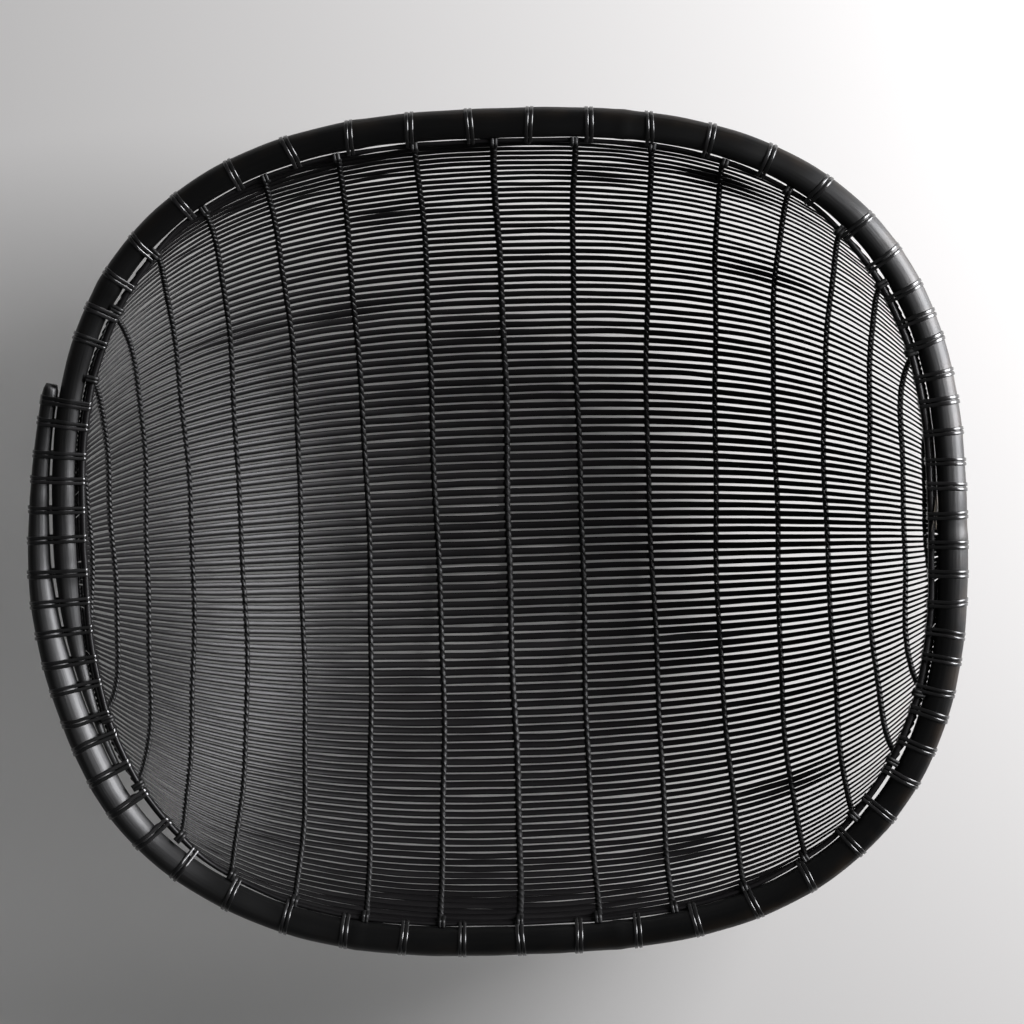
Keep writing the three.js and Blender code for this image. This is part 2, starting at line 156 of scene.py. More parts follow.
def connect(tree, socket, value):
    """Links a Field to a socket, or writes a plain number or colour into it."""
    if isinstance(value, Field):
        tree.links.new(value.socket, socket)
    else:
        socket.default_value = value


print("sockets can be added, subtracted and multiplied")

# %% [markdown]
# ## A finish under construction
# Every material here is one Principled BSDF with a few nodes in front of it. One method makes any
# node from its type, its settings and its sockets, in that order, because some settings change
# which sockets a node has. The other methods are short names for the nodes that the cane needs.


# %% Finishes
def shade_stops(ramp, stops):
    """Sets a colour ramp's stops from (position, grey) pairs."""
    while len(ramp.elements) < len(stops):
        ramp.elements.new(1.0)
    for element, (position, grey) in zip(ramp.elements, stops):
        element.position = position
        element.color = (grey, grey, grey, 1.0)


class Finish:
    """A material under construction, around one Principled BSDF."""

    def __init__(self, name):
        self.material = bpy.data.materials.new(name)
        self.material.use_nodes = True
        self.tree = self.material.node_tree
        self.shader = self.tree.nodes["Principled BSDF"]

    def node(self, kind, settings=None, sockets=None, output=0):
        """Any node: its settings first, then its sockets, by name or by number."""
        made = self.tree.nodes.new("ShaderNode" + kind)
        for key, value in (settings or {}).items():
            if key == "stops":
                shade_stops(made.color_ramp, value)
            else:
                setattr(made, key, value)
        for key, value in (sockets or {}).items():
            connect(self.tree, made.inputs[key], value)
        return Field(self.tree, made.outputs[output])

    def noise(self, where, scale, detail=3.0):
        """A cloudy value near a half, from the coordinates given."""
        return self.node("TexNoise", sockets={"Vector": where, "Scale": scale, "Detail": detail})

    def stretched(self, where, scale):
        """Coordinates multiplied by a scale for each axis, for a grain that runs one way."""
        return self.node("VectorMath", {"operation": "MULTIPLY"}, {0: where, 1: scale})

    def blend(self, factor, first, second):
        """A colour between two others."""
        return self.node("Mix", {"data_type": "RGBA"}, {0: factor, 6: first, 7: second}, output=2)

    def ramp(self, factor, stops):
        """A value turned into grey by (position, grey) stops."""
        return self.node("ValToRGB", {"stops": stops}, {"Fac": factor})

    def attribute(self, name):
        """A number stored on the piece's points."""
        return self.node("Attribute", {"attribute_name": name}, output="Fac")

    def set(self, sockets):
        """Values or links for the Principled BSDF's own sockets."""
        for key, value in sockets.items():
            connect(self.tree, self.shader.inputs[key], value)


print("a finish starts from one Principled BSDF")

# %% [markdown]
# ## The finish of the cane
# The cane is black all through, from years of smoke or a dye, and rubbed to a satin shine. Split
# faces show a fine grain along the rod, no two rods are quite as dark, and a little brown comes
# through where hands and edges have worn the pole. The grain follows each piece's own UV map:
# u is the length along the cane and v the way round it, both in metres. The pole's fibres run
# round the rim and spread its highlight across them, which the shader's Anisotropic value does.

# %% Cane
GRAIN_SCALE = (14.0, 480.0, 1.0)
CLOUD_SCALE = (22.0, 60.0, 1.0)
PATCH_SCALE = 55.0
PATCH_STOPS = [(0.42, 0.0), (0.62, 1.0)]
GRAIN_DEPTH = 0.4 * MM
COAT_ROUGHNESS = 0.13
QUARTER_TURN = 0.25


def cane(name, dark, pale, worn, rough, grain, coat, mirror=0.5, fibres=0.0):
    """Black cane: dark and pale are the ends of the grain's colour, worn shows by the attribute wear."""
    finish = Finish(name)
    uv = finish.node("UVMap", {"uv_map": "length_and_girth"})
    streaks = finish.noise(finish.stretched(uv, GRAIN_SCALE), 1.0, detail=4.0)
    clouds = finish.noise(finish.stretched(uv, CLOUD_SCALE), 1.0, detail=2.0)
    tone = finish.attribute("tone")
    wear = finish.attribute("wear")
    shade = (streaks * 0.55 + clouds * 0.45 + tone - 0.5).clamp()
    colour = finish.blend(shade, (*dark, 1.0), (*pale, 1.0))
    patches = finish.ramp(finish.noise(uv, PATCH_SCALE, detail=4.0), PATCH_STOPS)
    rubbed = (wear * patches * 0.7).clamp()
    colour = finish.blend(rubbed, colour, (*worn, 1.0))
    bumps = finish.node("Bump", sockets={"Height": streaks, "Strength": grain, "Distance": GRAIN_DEPTH})
    finish.set({
        "Base Color": colour,
        "Roughness": rough + clouds * 0.16 - rubbed * 0.08,
        "Normal": bumps,
        "Coat Weight": coat,
        "Coat Roughness": COAT_ROUGHNESS,
        "Specular IOR Level": mirror,
        "Anisotropic": fibres,
        "Anisotropic Rotation": QUARTER_TURN,
    })
    return finish.material


print("grain per metre along and round the cane:", GRAIN_SCALE[:2])

# %% Five canes
ROD_CANE = cane(
    "rod_cane", (0.006, 0.0055, 0.006), (0.024, 0.023, 0.024), (0.08, 0.06, 0.04),
    rough=0.36, grain=0.35, coat=0.1, mirror=0.22,
)
TWINE_CANE = cane(
    "twine_cane", (0.004, 0.004, 0.004), (0.014, 0.013, 0.014), (0.10, 0.08, 0.06),
    rough=0.42, grain=0.5, coat=0.0,
)
POLE_CANE = cane(
    "pole_cane", (0.002, 0.002, 0.002), (0.008, 0.0075, 0.0075), (0.045, 0.03, 0.018),
    rough=0.36, grain=0.7, coat=0.1, mirror=0.6, fibres=0.8,
)
FRAYED_CANE = cane(
    "frayed_cane", (0.02, 0.018, 0.016), (0.09, 0.08, 0.07), (0.42, 0.36, 0.28),
    rough=0.34, grain=0.5, coat=0.4,
)
LASH_CANE = cane(
    "lash_cane", (0.008, 0.008, 0.008), (0.030, 0.028, 0.030), (0.12, 0.10, 0.085),
    rough=0.24, grain=0.3, coat=0.8,
)
print("cane materials:", len(bpy.data.materials))

# %% [markdown]
# ## The wall as one function
# Every rod and every strand lies on the same bowl, so the bowl is written once. Seen from above
# its edge is a superellipse, and rho grows from 0 in the middle to 1 on that edge. The depth falls
# off with a power of rho, which makes a flat belly and an upright lip.

# %% The bowl
ROD_THICKNESS = 1.6 * MM
SEAT = 0.35 * MM
HALF_LENGTH, HALF_WIDTH = (hoop_high - hoop_low)[:2] / 2 + ROD_THICKNESS / 2 + SEAT
WALL_DEPTH = 152.4 * MM
WALL_TOP_DROP = 6 * MM
OUTLINE_POWER = 2.72
PROFILE_POWER = 2.64
PROFILE_ROUNDNESS = 0.83
EDGE_LEAST = 1e-6
TINY = 1e-9


def rho(x, y):
    """The share of the way out to the edge: the superellipse norm of the plan position."""
    along = (np.abs(x) / HALF_LENGTH) ** OUTLINE_POWER
    across = (np.abs(y) / HALF_WIDTH) ** OUTLINE_POWER
    return (along + across) ** (1 / OUTLINE_POWER)


def wall_height(x, y):
    """Height of the wall's middle: the edge's height less the depth times (1 - rho^p)^s."""
    rise = np.clip(1 - rho(x, y) ** PROFILE_POWER, 0, None)
    return -WALL_TOP_DROP - WALL_DEPTH * rise**PROFILE_ROUNDNESS


def plan_slope(x, y):
    """The direction, seen from above, in which rho grows, not yet of unit length."""
    power = OUTLINE_POWER - 1
    along = np.sign(x) * np.abs(x) ** power / HALF_LENGTH**OUTLINE_POWER
    across = np.sign(y) * np.abs(y) ** power / HALF_WIDTH**OUTLINE_POWER
    return along, across


def unit(vectors):
    """Each vector divided by its own length."""
    return vectors / np.maximum(np.linalg.norm(vectors, axis=-1, keepdims=True), TINY)


def wall_normal(x, y):
    """Unit normal out of the basket: the height's slope with respect to x and y, and -1."""
    r = np.clip(rho(x, y), EDGE_LEAST, 1)
    rise = np.clip(1 - r**PROFILE_POWER, EDGE_LEAST, None)
    steep = WALL_DEPTH * PROFILE_ROUNDNESS * PROFILE_POWER
    steep = steep * r ** (PROFILE_POWER - OUTLINE_POWER) * rise ** (PROFILE_ROUNDNESS - 1)
    along, across = plan_slope(x, y)
    return unit(np.stack([steep * along, steep * across, -np.ones_like(r)], axis=-1))


print("bowl", np.round([HALF_LENGTH, HALF_WIDTH, WALL_DEPTH], 4))

# %% [markdown]
# ## Measuring along the wall
# Rods keep their spacing along the curved wall, not in plan, so places across them are distances
# along a cross-section. Such a distance has no formula that can be turned round, so a table of
# cross-sections is measured once. Its rows and columns crowd towards the edge, where the bowl is
# steepest.

# %% Cross-sections
ROWS = 301
COLUMNS = 241
MIDDLE_STEPS = 801


def crowding(count):
    """Shares from 0 to 1 that crowd towards 1: one less the square of what is left."""
    return 1 - (1 - np.linspace(0, 1, count)) ** 2


middle_x = HALF_LENGTH * crowding(MIDDLE_STEPS)
middle_z = wall_height(middle_x, np.zeros_like(middle_x))
middle_arc = np.hypot(np.diff(middle_x), np.diff(middle_z)).cumsum()
middle_arc = np.concatenate([[0], middle_arc])
row_share = crowding(ROWS)
row_x = HALF_LENGTH * row_share
row_edge = HALF_WIDTH * np.clip(1 - row_share**OUTLINE_POWER, 0, None) ** (1 / OUTLINE_POWER)
cut_y = row_edge[:, None] * crowding(COLUMNS)
cut_z = wall_height(row_x[:, None], cut_y)
cut_arc = np.hypot(np.diff(cut_y, axis=1), np.diff(cut_z, axis=1)).cumsum(axis=1)
cut_arc = np.concatenate([np.zeros((ROWS, 1)), cut_arc], axis=1)
half_arc = cut_arc[:, -1]
share = np.linspace(0, 1, COLUMNS)
even_y = np.array([np.interp(share, arc / max(arc[-1], TINY), y) for arc, y in zip(cut_arc, cut_y)])
print("half cross-section at the middle:", round(half_arc[0], 4))

# %% [markdown]
# ## Fan and places
# The rods close up towards both ends, and the outer ones draw in a little more to run along with
# the rim at the corners. Both are shares of the spacing in the middle, so a rod is one number, its
# place across the others, and the table turns place and x into a point of the wall.

# %% Fan
FAN_CLOSING = 0.5
FAN_POWER = 2.5
SIDE_CLOSING = 0.26


def climb(x):
    """How far along the middle of the bowl x lies: 0 in the middle, 1 at the end of a rod."""
    return np.interp(np.abs(x), middle_x, middle_arc) / middle_arc[-1]


def fan(x):
    """Spacing of the middle rods as a share of that half way along them."""
    return 1 - FAN_CLOSING * climb(x) ** FAN_POWER


def side_draw(place, x):
    """How much more the outer rods draw in: the square of the place times that of the climb."""
    return SIDE_CLOSING * (place / half_arc[0]) ** 2 * climb(x) ** 2


def rod_arc(place, x):
    """Distance along the cross-section at x of a place across the rods."""
    return np.abs(place) * fan(x) * (1 - side_draw(place, x))


def rod_spread(place, x):
    """How fast that distance grows with the place: the local spacing as a share."""
    return fan(x) * (1 - 3 * side_draw(place, x))


print("spacing at the end of the middle rod, as a share:", fan(HALF_LENGTH))


# %% Places on the wall
def row_number(x):
    """The table row, with a fraction, at which the crowded rows reach x."""
    return (ROWS - 1) * (1 - np.sqrt(np.clip(1 - np.abs(x) / HALF_LENGTH, 0, 1)))


def edge_arc(x):
    """Distance along the cross-section at x from the middle to the edge, from the table."""
    return np.interp(row_number(x), np.arange(ROWS), half_arc)


def wall_points(place, x):
    """Points of the wall at x that lie at a place across the rods, blended from four table entries."""
    row = np.clip(row_number(x), 0, ROWS - 1.001)
    low = row.astype(int)
    part = row - low
    limit = half_arc[low] * (1 - part) + half_arc[low + 1] * part
    column = np.clip(rod_arc(place, x) / np.maximum(limit, TINY), 0, 1) * (COLUMNS - 1.001)
    left = column.astype(int)
    over = column - left
    near = even_y[low, left] * (1 - over) + even_y[low, left + 1] * over
    far = even_y[low + 1, left] * (1 - over) + even_y[low + 1, left + 1] * over
    y = np.sign(place) * (near * (1 - part) + far * part)
    return np.stack([x, y, wall_height(x, y)], axis=-1)


print("a point up the side:", np.round(wall_points(np.array([0.2]), np.array([0.0]))[0], 4))

# %% Meeting the edge
HALVINGS = 50


def halving(inside, outside, within):
    """For many lines at once, the last x still within, found by halving the way to outside."""
    for _ in range(HALVINGS):
        x = (inside + outside) / 2
        kept = within(x)
        inside, outside = np.where(kept, x, inside), np.where(kept, outside, x)
    return inside


def edge_meeting(place_at, count):
    """For count lines, the x at which each meets the wall's edge."""
    start = np.zeros(count)
    return halving(start, start + HALF_LENGTH, lambda x: rod_arc(place_at(x), x) < edge_arc(x))


print("the middle rod meets the edge at x =", round(edge_meeting(np.zeros_like, 1)[0], 4))

# %% [markdown]
# ## From arrays to meshes
# Everything on this basket is something long with a small section, so one way makes them all:
# rings of points in an array (pieces, rings, corners, 3) become quads, with flat ends or joined
# round. Seen back along the path, a ring's corners run counter-clockwise, which turns every face
# outwards.


# %% Faces between rings
def side_faces(pieces, rings, corners, closed):
    """Quads between neighbouring rings, each a row of four vertex numbers."""
    last = rings if closed else rings - 1
    piece, ring, corner = np.meshgrid(
        np.arange(pieces), np.arange(last), np.arange(corners), indexing="ij"
    )
    base = piece * rings * corners
    here = base + ring * corners
    there = base + (ring + 1) % rings * corners
    beside = (corner + 1) % corners
    quads = np.stack([here + corner, there + corner, there + beside, here + beside], axis=-1)
    return quads.reshape(-1, 4)


def end_faces(pieces, rings, corners, closed):
    """The first ring of each open tube as a face, and the last ring the other way round."""
    starts = np.arange(0 if closed else pieces)[:, None] * rings * corners + np.arange(corners)
    stops = starts[:, ::-1] + (rings - 1) * corners
    return np.concatenate([starts, stops])


print("quads between two rings of eight corners:", len(side_faces(1, 2, 8, False)))

# %% [markdown]
# ## Grain map and point values
# The cane finish reads a UV map and two numbers, tone and wear. A UV map could be unwrapped, but a
# tube has its own: the length along it and the length round it. Each further tube of a piece is
# moved on a little, so that no two show the same grain.

# %% UV map and attributes
TUBE_SHIFT = 1.37
GIRTH_SHIFT = 0.173


def running(lengths):
    """Distances from the start, for steps of these lengths."""
    return np.concatenate([np.zeros((len(lengths), 1)), lengths.cumsum(axis=1)], axis=1)


def write_uv(mesh, rings, closed, end_loops):
    """u is the length along the tube and v the length round it, so the cane's grain keeps its scale."""
    pieces, count, corners, _ = rings.shape
    tube = np.arange(pieces)[:, None]
    spine = rings.mean(axis=2)
    spine = np.concatenate([spine, spine[:, :1]], axis=1) if closed else spine
    along = running(np.linalg.norm(np.diff(spine, axis=1), axis=-1)) + tube * TUBE_SHIFT
    looped = np.concatenate([rings, rings[:, :, :1]], axis=2)
    girth = running(np.linalg.norm(np.diff(looped, axis=2), axis=-1).mean(axis=1)) + tube * GIRTH_SHIFT
    last = count if closed else count - 1
    grid = (pieces, last, corners)
    u = [np.broadcast_to(along[:, far : far + last, None], grid) for far in (0, 1, 1, 0)]
    v = [np.broadcast_to(girth[:, None, high : high + corners], grid) for high in (0, 0, 1, 1)]
    uv = np.stack([np.stack(u, axis=-1), np.stack(v, axis=-1)], axis=-1).reshape(-1, 2)
    uv = np.concatenate([uv, np.zeros((end_loops, 2))])
    layer = mesh.uv_layers.new(name="length_and_girth")
    layer.data.foreach_set("uv", uv.ravel())


def write_point_values(mesh, name, values, shape):
    """One number per vertex, from anything that spreads over (pieces, rings, corners)."""
    values = np.zeros(1) if values is None else np.asarray(values, float)
    spread = np.broadcast_to(values, shape[:3]).ravel()
    mesh.attributes.new(name, "FLOAT", "POINT").data.foreach_set("value", spread)


print("grain moves on by", TUBE_SHIFT, "m from tube to tube")

# %% [markdown]
# ## One object from rings
# A piece of the dressed basket rides on the basket's only body, takes the slot of its cane and
# hides the solids that it stands in for. Its place is in its vertices, so the object itself stays
# at the origin.


# %% Pieces
def tube_mesh(name, rings, closed):
    """A mesh of tubes in the basket's frame: smooth sides, and a flat face at each open end."""
    pieces, count, corners, _ = rings.shape
    sides = side_faces(pieces, count, corners, closed)
    ends = end_faces(pieces, count, corners, closed)
    loops = np.concatenate([sides.ravel(), ends.ravel()]).astype(np.int32)
    sizes = np.repeat([4, corners], [len(sides), len(ends)])
    mesh = bpy.data.meshes.new(name)
    mesh.vertices.add(pieces * count * corners)
    mesh.vertices.foreach_set("co", (rings + RIM).ravel())
    mesh.loops.add(len(loops))
    mesh.loops.foreach_set("vertex_index", loops)
    mesh.polygons.add(len(sizes))
    mesh.polygons.foreach_set("loop_start", (sizes.cumsum() - sizes).astype(np.int32))
    mesh.polygons.foreach_set("use_smooth", np.arange(len(sizes)) < len(sides))
    write_uv(mesh, rings, closed, ends.size)
    return mesh


def tube_piece(name, rings, material, replaced, closed=False, tone=None, wear=None):
    """One object of swept tubes, with its cane, riding on the basket's only body."""
    mesh = tube_mesh(name, rings, closed)
    write_point_values(mesh, "tone", tone, rings.shape)
    write_point_values(mesh, "wear", wear, rings.shape)
    mesh.update(calc_edges=True)
    mesh.validate()
    mesh.materials.append(material)
    piece = bpy.data.objects.new(name, mesh)
    bpy.context.scene.collection.objects.link(piece)
    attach(piece, "root")
    if replaced:
        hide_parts(*replaced)
    return piece


print("pieces are placed about the rim's middle:", np.round(RIM, 4))


# %% A section along a path
def sweep(path, wide, thick, half_wide, half_thick, profile):
    """Rings round a path: each corner is half_wide and half_thick times its place in the profile."""
    a = np.asarray(half_wide)[..., None, None] * profile[:, 0, None]
    b = np.asarray(half_thick)[..., None, None] * profile[:, 1, None]
    return path[..., None, :] + a * wide[..., None, :] + b * thick[..., None, :]


def along_path(path):
    """Unit direction of travel at each point of a path, by central differences."""
    return unit(np.gradient(path, axis=-2))


def smooth_step(t):
    """0 up to t = 0, 1 from t = 1, and three t squared less two t cubed between."""
    t = np.clip(t, 0, 1)
    return t * t * (3 - 2 * t)


print("smooth step at a quarter, a half and the end:", smooth_step(np.array([0.25, 0.5, 1.0])))

# %% [markdown]
# ## The twining lines' places
# The rods are held by lines of twining that cross them. The lines stand further apart over the
# belly and close up towards the ends. Rods are only free to wander between two lines, so the
# places of the lines come before the rods.

# %% Line places
LINES_PER_SIDE = 7
LINE_PLACES_PER_SIDE = 8
LINE_SPREAD = 1.19
LINE_CLOSING = 0.22


def line_x(number):
    """x of a twining line, counted out from 0 in the middle; fractions lie between lines."""
    t = np.abs(number) / LINE_PLACES_PER_SIDE
    arc = middle_arc[-1] * (LINE_SPREAD * t - LINE_CLOSING * t**3)
    return np.sign(number) * np.interp(arc, middle_arc, middle_x)


fine_numbers = np.linspace(-LINE_PLACES_PER_SIDE, LINE_PLACES_PER_SIDE, 1601)
fine_x = line_x(fine_numbers)


def line_number(x):
    """The inverse of line_x."""
    return np.interp(x, fine_x, fine_numbers)


print("line places (mm):", np.round(line_x(np.arange(0, 8)) / MM))

# %% [markdown]
# ## Where each rod lies
# Neighbouring rods keep one spacing over the belly, and the fan draws them together at the ends.
# Rods at the back stand further apart than those in front. Right under the rim, every fifth space
# opens a little to let the lashing through, so the five rods of a band draw together there.

# %% Rod places
BANDS = 21
RODS_PER_BAND = 5
RODS = BANDS * RODS_PER_BAND + 2
TOP_ROD_DROP = 0.6 * MM
PITCH = 2 * (half_arc[0] - TOP_ROD_DROP) / (RODS - 1)
rod_number = np.arange(RODS)
band_of_rod = np.clip((rod_number - 1) // RODS_PER_BAND, 0, BANDS - 1)


def rod_place(number):
    """Distance across the rods from the middle one, with the fan opened out."""
    return (number - (RODS - 1) / 2) * PITCH


print("rods:", RODS, "pitch (mm):", round(PITCH / MM, 2))

# %% Gaps, and bands under the rim
ROD_GAP = 1.3 * MM
BACK_ROD_GAP = 3.2 * MM
FRONT_ROD_GAP = 1.9 * MM
LASH_SLOT = 2.1 * MM
SLOT_LENGTH = 22 * MM
side_gap = np.where(rod_place(rod_number) > 0, BACK_ROD_GAP, FRONT_ROD_GAP)
rod_gap = ROD_GAP + (side_gap - ROD_GAP) * (rod_place(rod_number) / rod_place(0)) ** 2
straight_ends = edge_meeting(lambda x: rod_place(rod_number), RODS)
band_middle = rod_place(1 + band_of_rod * RODS_PER_BAND + (RODS_PER_BAND - 1) / 2)
end_spread = rod_spread(rod_place(rod_number), straight_ends)
closing = np.clip(LASH_SLOT - rod_gap, 0, None) / (RODS_PER_BAND * PITCH * end_spread)


def slotted(x):
    """0 over the belly, 1 under the rim, for rods in rows."""
    ends = straight_ends.reshape((RODS,) + (1,) * (x.ndim - 1))
    return smooth_step((np.abs(x) - ends + SLOT_LENGTH) / SLOT_LENGTH)


def rod_lines(x):
    """Places of all rods, each row at its own x, drawn a little to the middle of the band."""
    shape = (RODS,) + (1,) * (x.ndim - 1)
    away = (rod_place(rod_number) - band_middle).reshape(shape)
    return band_middle.reshape(shape) + away * (1 - closing.reshape(shape) * slotted(x))


rod_ends = edge_meeting(rod_lines, RODS)
print("gaps in front, in the middle and at the back (mm):", np.round(rod_gap[[0, RODS // 2, -1]] / MM, 2))

# %% [markdown]
# ## Wander between the lines
# Each rod is held at every line and wanders a little between two of them: a small seeded shift for
# each rod in each bay, which fades to nothing at the lines.

# %% Wander
WANDER = 0.16 * MM
BAYS = 2 * LINE_PLACES_PER_SIDE + 2
rod_shift = chance.normal(0, WANDER, (RODS, BAYS))


def bay_of(x):
    """The bay that x lies in, and a fade that is 0 at the lines and 1 half way between."""
    place = line_number(x) + LINE_PLACES_PER_SIDE + 1
    fade = np.sin(np.pi * (place - np.floor(place))) ** 2
    return np.clip(place.astype(int), 0, BAYS - 1), fade


print("largest shift (mm):", round(np.abs(rod_shift).max() / MM, 2))

# %% [markdown]
# ## Rod widths
# A rod thins along its length and where rods crowd. In a few spots by the sides, and in two broad
# places, rods have slid together and closed the gap. Bell curves over rod number and x say how
# much. Where two rods would run into each other, both are made narrower, so they only touch.

# %% Rods that slid together
SPOTS = 30
SPOT_REACH = 170 * MM
SPOT_RODS = 1.6
SPOT_LENGTH = 28 * MM
DRAWN_STRENGTH = np.array([0.85, 0.8])
DRAWN_X = np.array([-30, -160]) * MM
DRAWN_RODS = 8
DRAWN_LENGTH = 140 * MM


def soft_spots(x, rod, middle, strength, rods_wide, length):
    """The largest of some bell curves over rod number and x, each with its own middle and height."""
    across = (rod_number[:, None, None] - rod) / rods_wide
    along = (x[..., None] - middle) / length
    return (strength * np.exp(-(across**2) - along**2)).max(axis=-1)


def slid_together(x):
    """0 where rods lie apart, near 1 in small spots by the sides and in two broad places."""
    rod = chance.beta(0.4, 0.4, SPOTS) * RODS
    middle = chance.uniform(-SPOT_REACH, SPOT_REACH, SPOTS)
    strength = chance.uniform(0.4, 0.9, SPOTS)
    small = soft_spots(x, rod, middle, strength, SPOT_RODS, SPOT_LENGTH)
    outer = np.array([0, RODS - 1])
    broad = soft_spots(x, outer, DRAWN_X, DRAWN_STRENGTH, DRAWN_RODS, DRAWN_LENGTH)
    return np.maximum(small, broad)


print("spots where rods slid together:", SPOTS + len(DRAWN_X))

# %% Rod widths
ROD_TAPER = 0.2
ROD_UNEVEN = 0.03
ROD_RIPPLES = 31
WIDEST_GAP = 0.62
TIP_SHUT = 0.95
TIP_SHUT_START = 5 * MM
TIP_SHUT_LENGTH = 3 * MM
JUST_TOUCHING = 0.495


def rod_half_width(x, bay, fade):
    """Half of the spacing less the gap, and never past half way to the neighbour on either side."""
    steps = np.diff(rod_shift, axis=0)
    room = np.concatenate([np.zeros((1, BAYS)), steps, np.zeros((1, BAYS))])
    row = rod_number[:, None]
    near = PITCH + np.minimum(room[row, bay], room[row + 1, bay]) * fade
    ripple = chance.normal(0, 1, (RODS, 2))
    uneven = 1 + ROD_UNEVEN * (ripple[:, :1] + np.sin(x * ROD_RIPPLES + ripple[:, 1:] * 5))
    spread = rod_spread(rod_place(row), x)
    spacing = PITCH * spread * (1 - closing[:, None] * slotted(x))
    thinning = 1 + ROD_TAPER * x / HALF_LENGTH
    shut = smooth_step((np.abs(x) - rod_ends[:, None] + TIP_SHUT_START) / TIP_SHUT_LENGTH)
    gap = np.minimum(rod_gap[:, None] * thinning, spacing * WIDEST_GAP)
    gap = gap * (1 - slid_together(x)) * (1 - TIP_SHUT * shut)
    plain = (spacing - gap) / 2 * uneven
    return np.minimum(plain, near * spread * JUST_TOUCHING), spacing[:, [0, -1]] / 2


print("a rod gives up at most", WIDEST_GAP, "of its spacing to the gap")

# %% [markdown]
# ## Rods
# A rod is split cane: flat on the split side, which faces into the basket, and a little rounded
# on the skin side. It could be a curve with a bevel, but all rods swept in one array are quicker
# and can each have their own width. Rings crowd towards the ends, where the bowl turns up, and the
# last ring rises behind the hoop.

# %% Sweep the rods
ROD_RINGS = 141
ROD_TUCK = 8 * MM
ROD_STUB = 0.5 * MM
TUCK_FROM = 0.45
TUCK_EASE = 0.3
ROD_WAVE = 0.3 * MM
ROD_WAVES = 45
ROD_THINNEST = 0.5
ROD_TONE = 0.16
ROD_PROFILE = np.array([
    [-0.97, -0.45], [-0.74, -1.0], [0.74, -1.0], [0.97, -0.45],
    [0.97, 0.35], [0.60, 0.95], [-0.60, 0.95], [-0.97, 0.35],
])


def end_ring(path, thick, end, way):
    """The last point of each rod: on past the wall's edge, upwards where the wall is steep."""
    rise = way * along_path(path)[:, end]
    up = unit(rise - thick[:, end] * (rise * thick[:, end]).sum(-1, keepdims=True))
    steep = smooth_step((up[:, 2] - TUCK_FROM) / TUCK_EASE)[:, None]
    return (path[:, end] + up * (ROD_STUB + ROD_TUCK * steep))[:, None]


def make_rods():
    """Rings of every rod, (rods, rings, corners, 3): a wavy path on the wall with its own widths."""
    t = np.linspace(-1, 1, ROD_RINGS)
    x = rod_ends[:, None] * np.sin(t * np.pi / 2)
    bay, fade = bay_of(x)
    fade = fade * (1 - slotted(x))
    place = rod_lines(x) + rod_shift[rod_number[:, None], bay] * fade
    path = wall_points(place, x)
    thick = wall_normal(path[..., 0], path[..., 1])
    phase = chance.uniform(0, 6, (RODS, 1))
    path = path + thick * (ROD_WAVE * np.sin(x * ROD_WAVES + phase) * fade)[..., None]
    half_wide, tip = rod_half_width(x, bay, fade)
    path = np.concatenate([end_ring(path, thick, 0, -1), path, end_ring(path, thick, -1, 1)], axis=1)
    thick = np.concatenate([thick[:, :1], thick, thick[:, -1:]], axis=1)
    half_wide = np.concatenate([tip[:, :1], half_wide, tip[:, 1:]], axis=1)
    wide = unit(np.cross(along_path(path), thick))
    thinned = np.clip(rod_spread(rod_place(rod_number)[:, None], path[..., 0]), ROD_THINNEST, 1)
    return sweep(path, wide, thick, half_wide, ROD_THICKNESS / 2 * thinned, ROD_PROFILE)


rod_rings = make_rods()
rod_tone = chance.normal(0, ROD_TONE, (RODS, 1, 1))
for band in range(BANDS):
    own = band_of_rod == band
    mark = f"{band + 1:02d}"
    node = f"rod_band_{mark}"
    tube_piece(f"rods_{mark}", rod_rings[own], ROD_CANE, [node], tone=rod_tone[own])
print("rods swept:", rod_rings.shape)

# %% [markdown]
# ## Twining
# A line of twining is two strips of cane that pass one in front of a rod and one behind it, and
# change places with half a twist before the next. That is a pair of helices with half a turn per
# rod, squeezed flat against the rods. So a line is one formula: its angle is pi times the rod
# number, the cosine lifts a strand off the wall and the sine shifts it along the rods.

# %% Reach of a line
STRAND_RIM_GAP = 3.5 * MM
LINE_HOOK = 8 * MM
HOOK_SHARE = 0.3


def rods_crossed(x):
    """First and last rod that still lies clear of the rim at x."""
    clear = edge_arc(x) - rod_arc(rod_place(rod_number), x)
    crossed = np.flatnonzero(clear > STRAND_RIM_GAP)
    return crossed[0], crossed[-1]


def line_hook(number):
    """How far a line bends out along the rods where it comes to the rim: more for outer lines."""
    room = HALF_LENGTH - np.abs(line_x(number))
    bend = LINE_HOOK * (number / LINE_PLACES_PER_SIDE) ** 2
    return np.sign(number) * np.minimum(bend, HOOK_SHARE * room)


print("rods crossed by the middle line:", *rods_crossed(np.array(0.0)))

# %% [markdown]
# ## Sweep the twining
# Close under the rim at each end lies one more short line, the outer lines bend out where they
# meet the rim, and the middle line is the stoutest. Two slow waves keep a line from being quite
# straight, as hand-twined lines are.

# %% Strands
STRAND_HALF_WIDE = 1.8 * MM
STRAND_HALF_THICK = 0.8 * MM
STRAND_LIFT = ROD_THICKNESS / 2 + 0.65 * MM
STRAND_SHIFT = 1.1 * MM
STRAND_FLATNESS = 1.5
STRAND_OVERRUN = 0.6
STRAND_UNEVEN = 0.1
STRAND_TONE = 0.1
STEPS_PER_ROD = 8
LINE_SWAY = 0.9 * MM
LINE_TREMOR = 0.35 * MM
HOOK_POWER = 5
MIDDLE_LINE_SIZE = 1.2
LINE_SLIMMING = 0.05
STRAND_PROFILE = np.array([[-1, 0], [-0.55, -0.9], [0.55, -0.9], [1, 0], [0.55, 0.9], [-0.55, 0.9]])


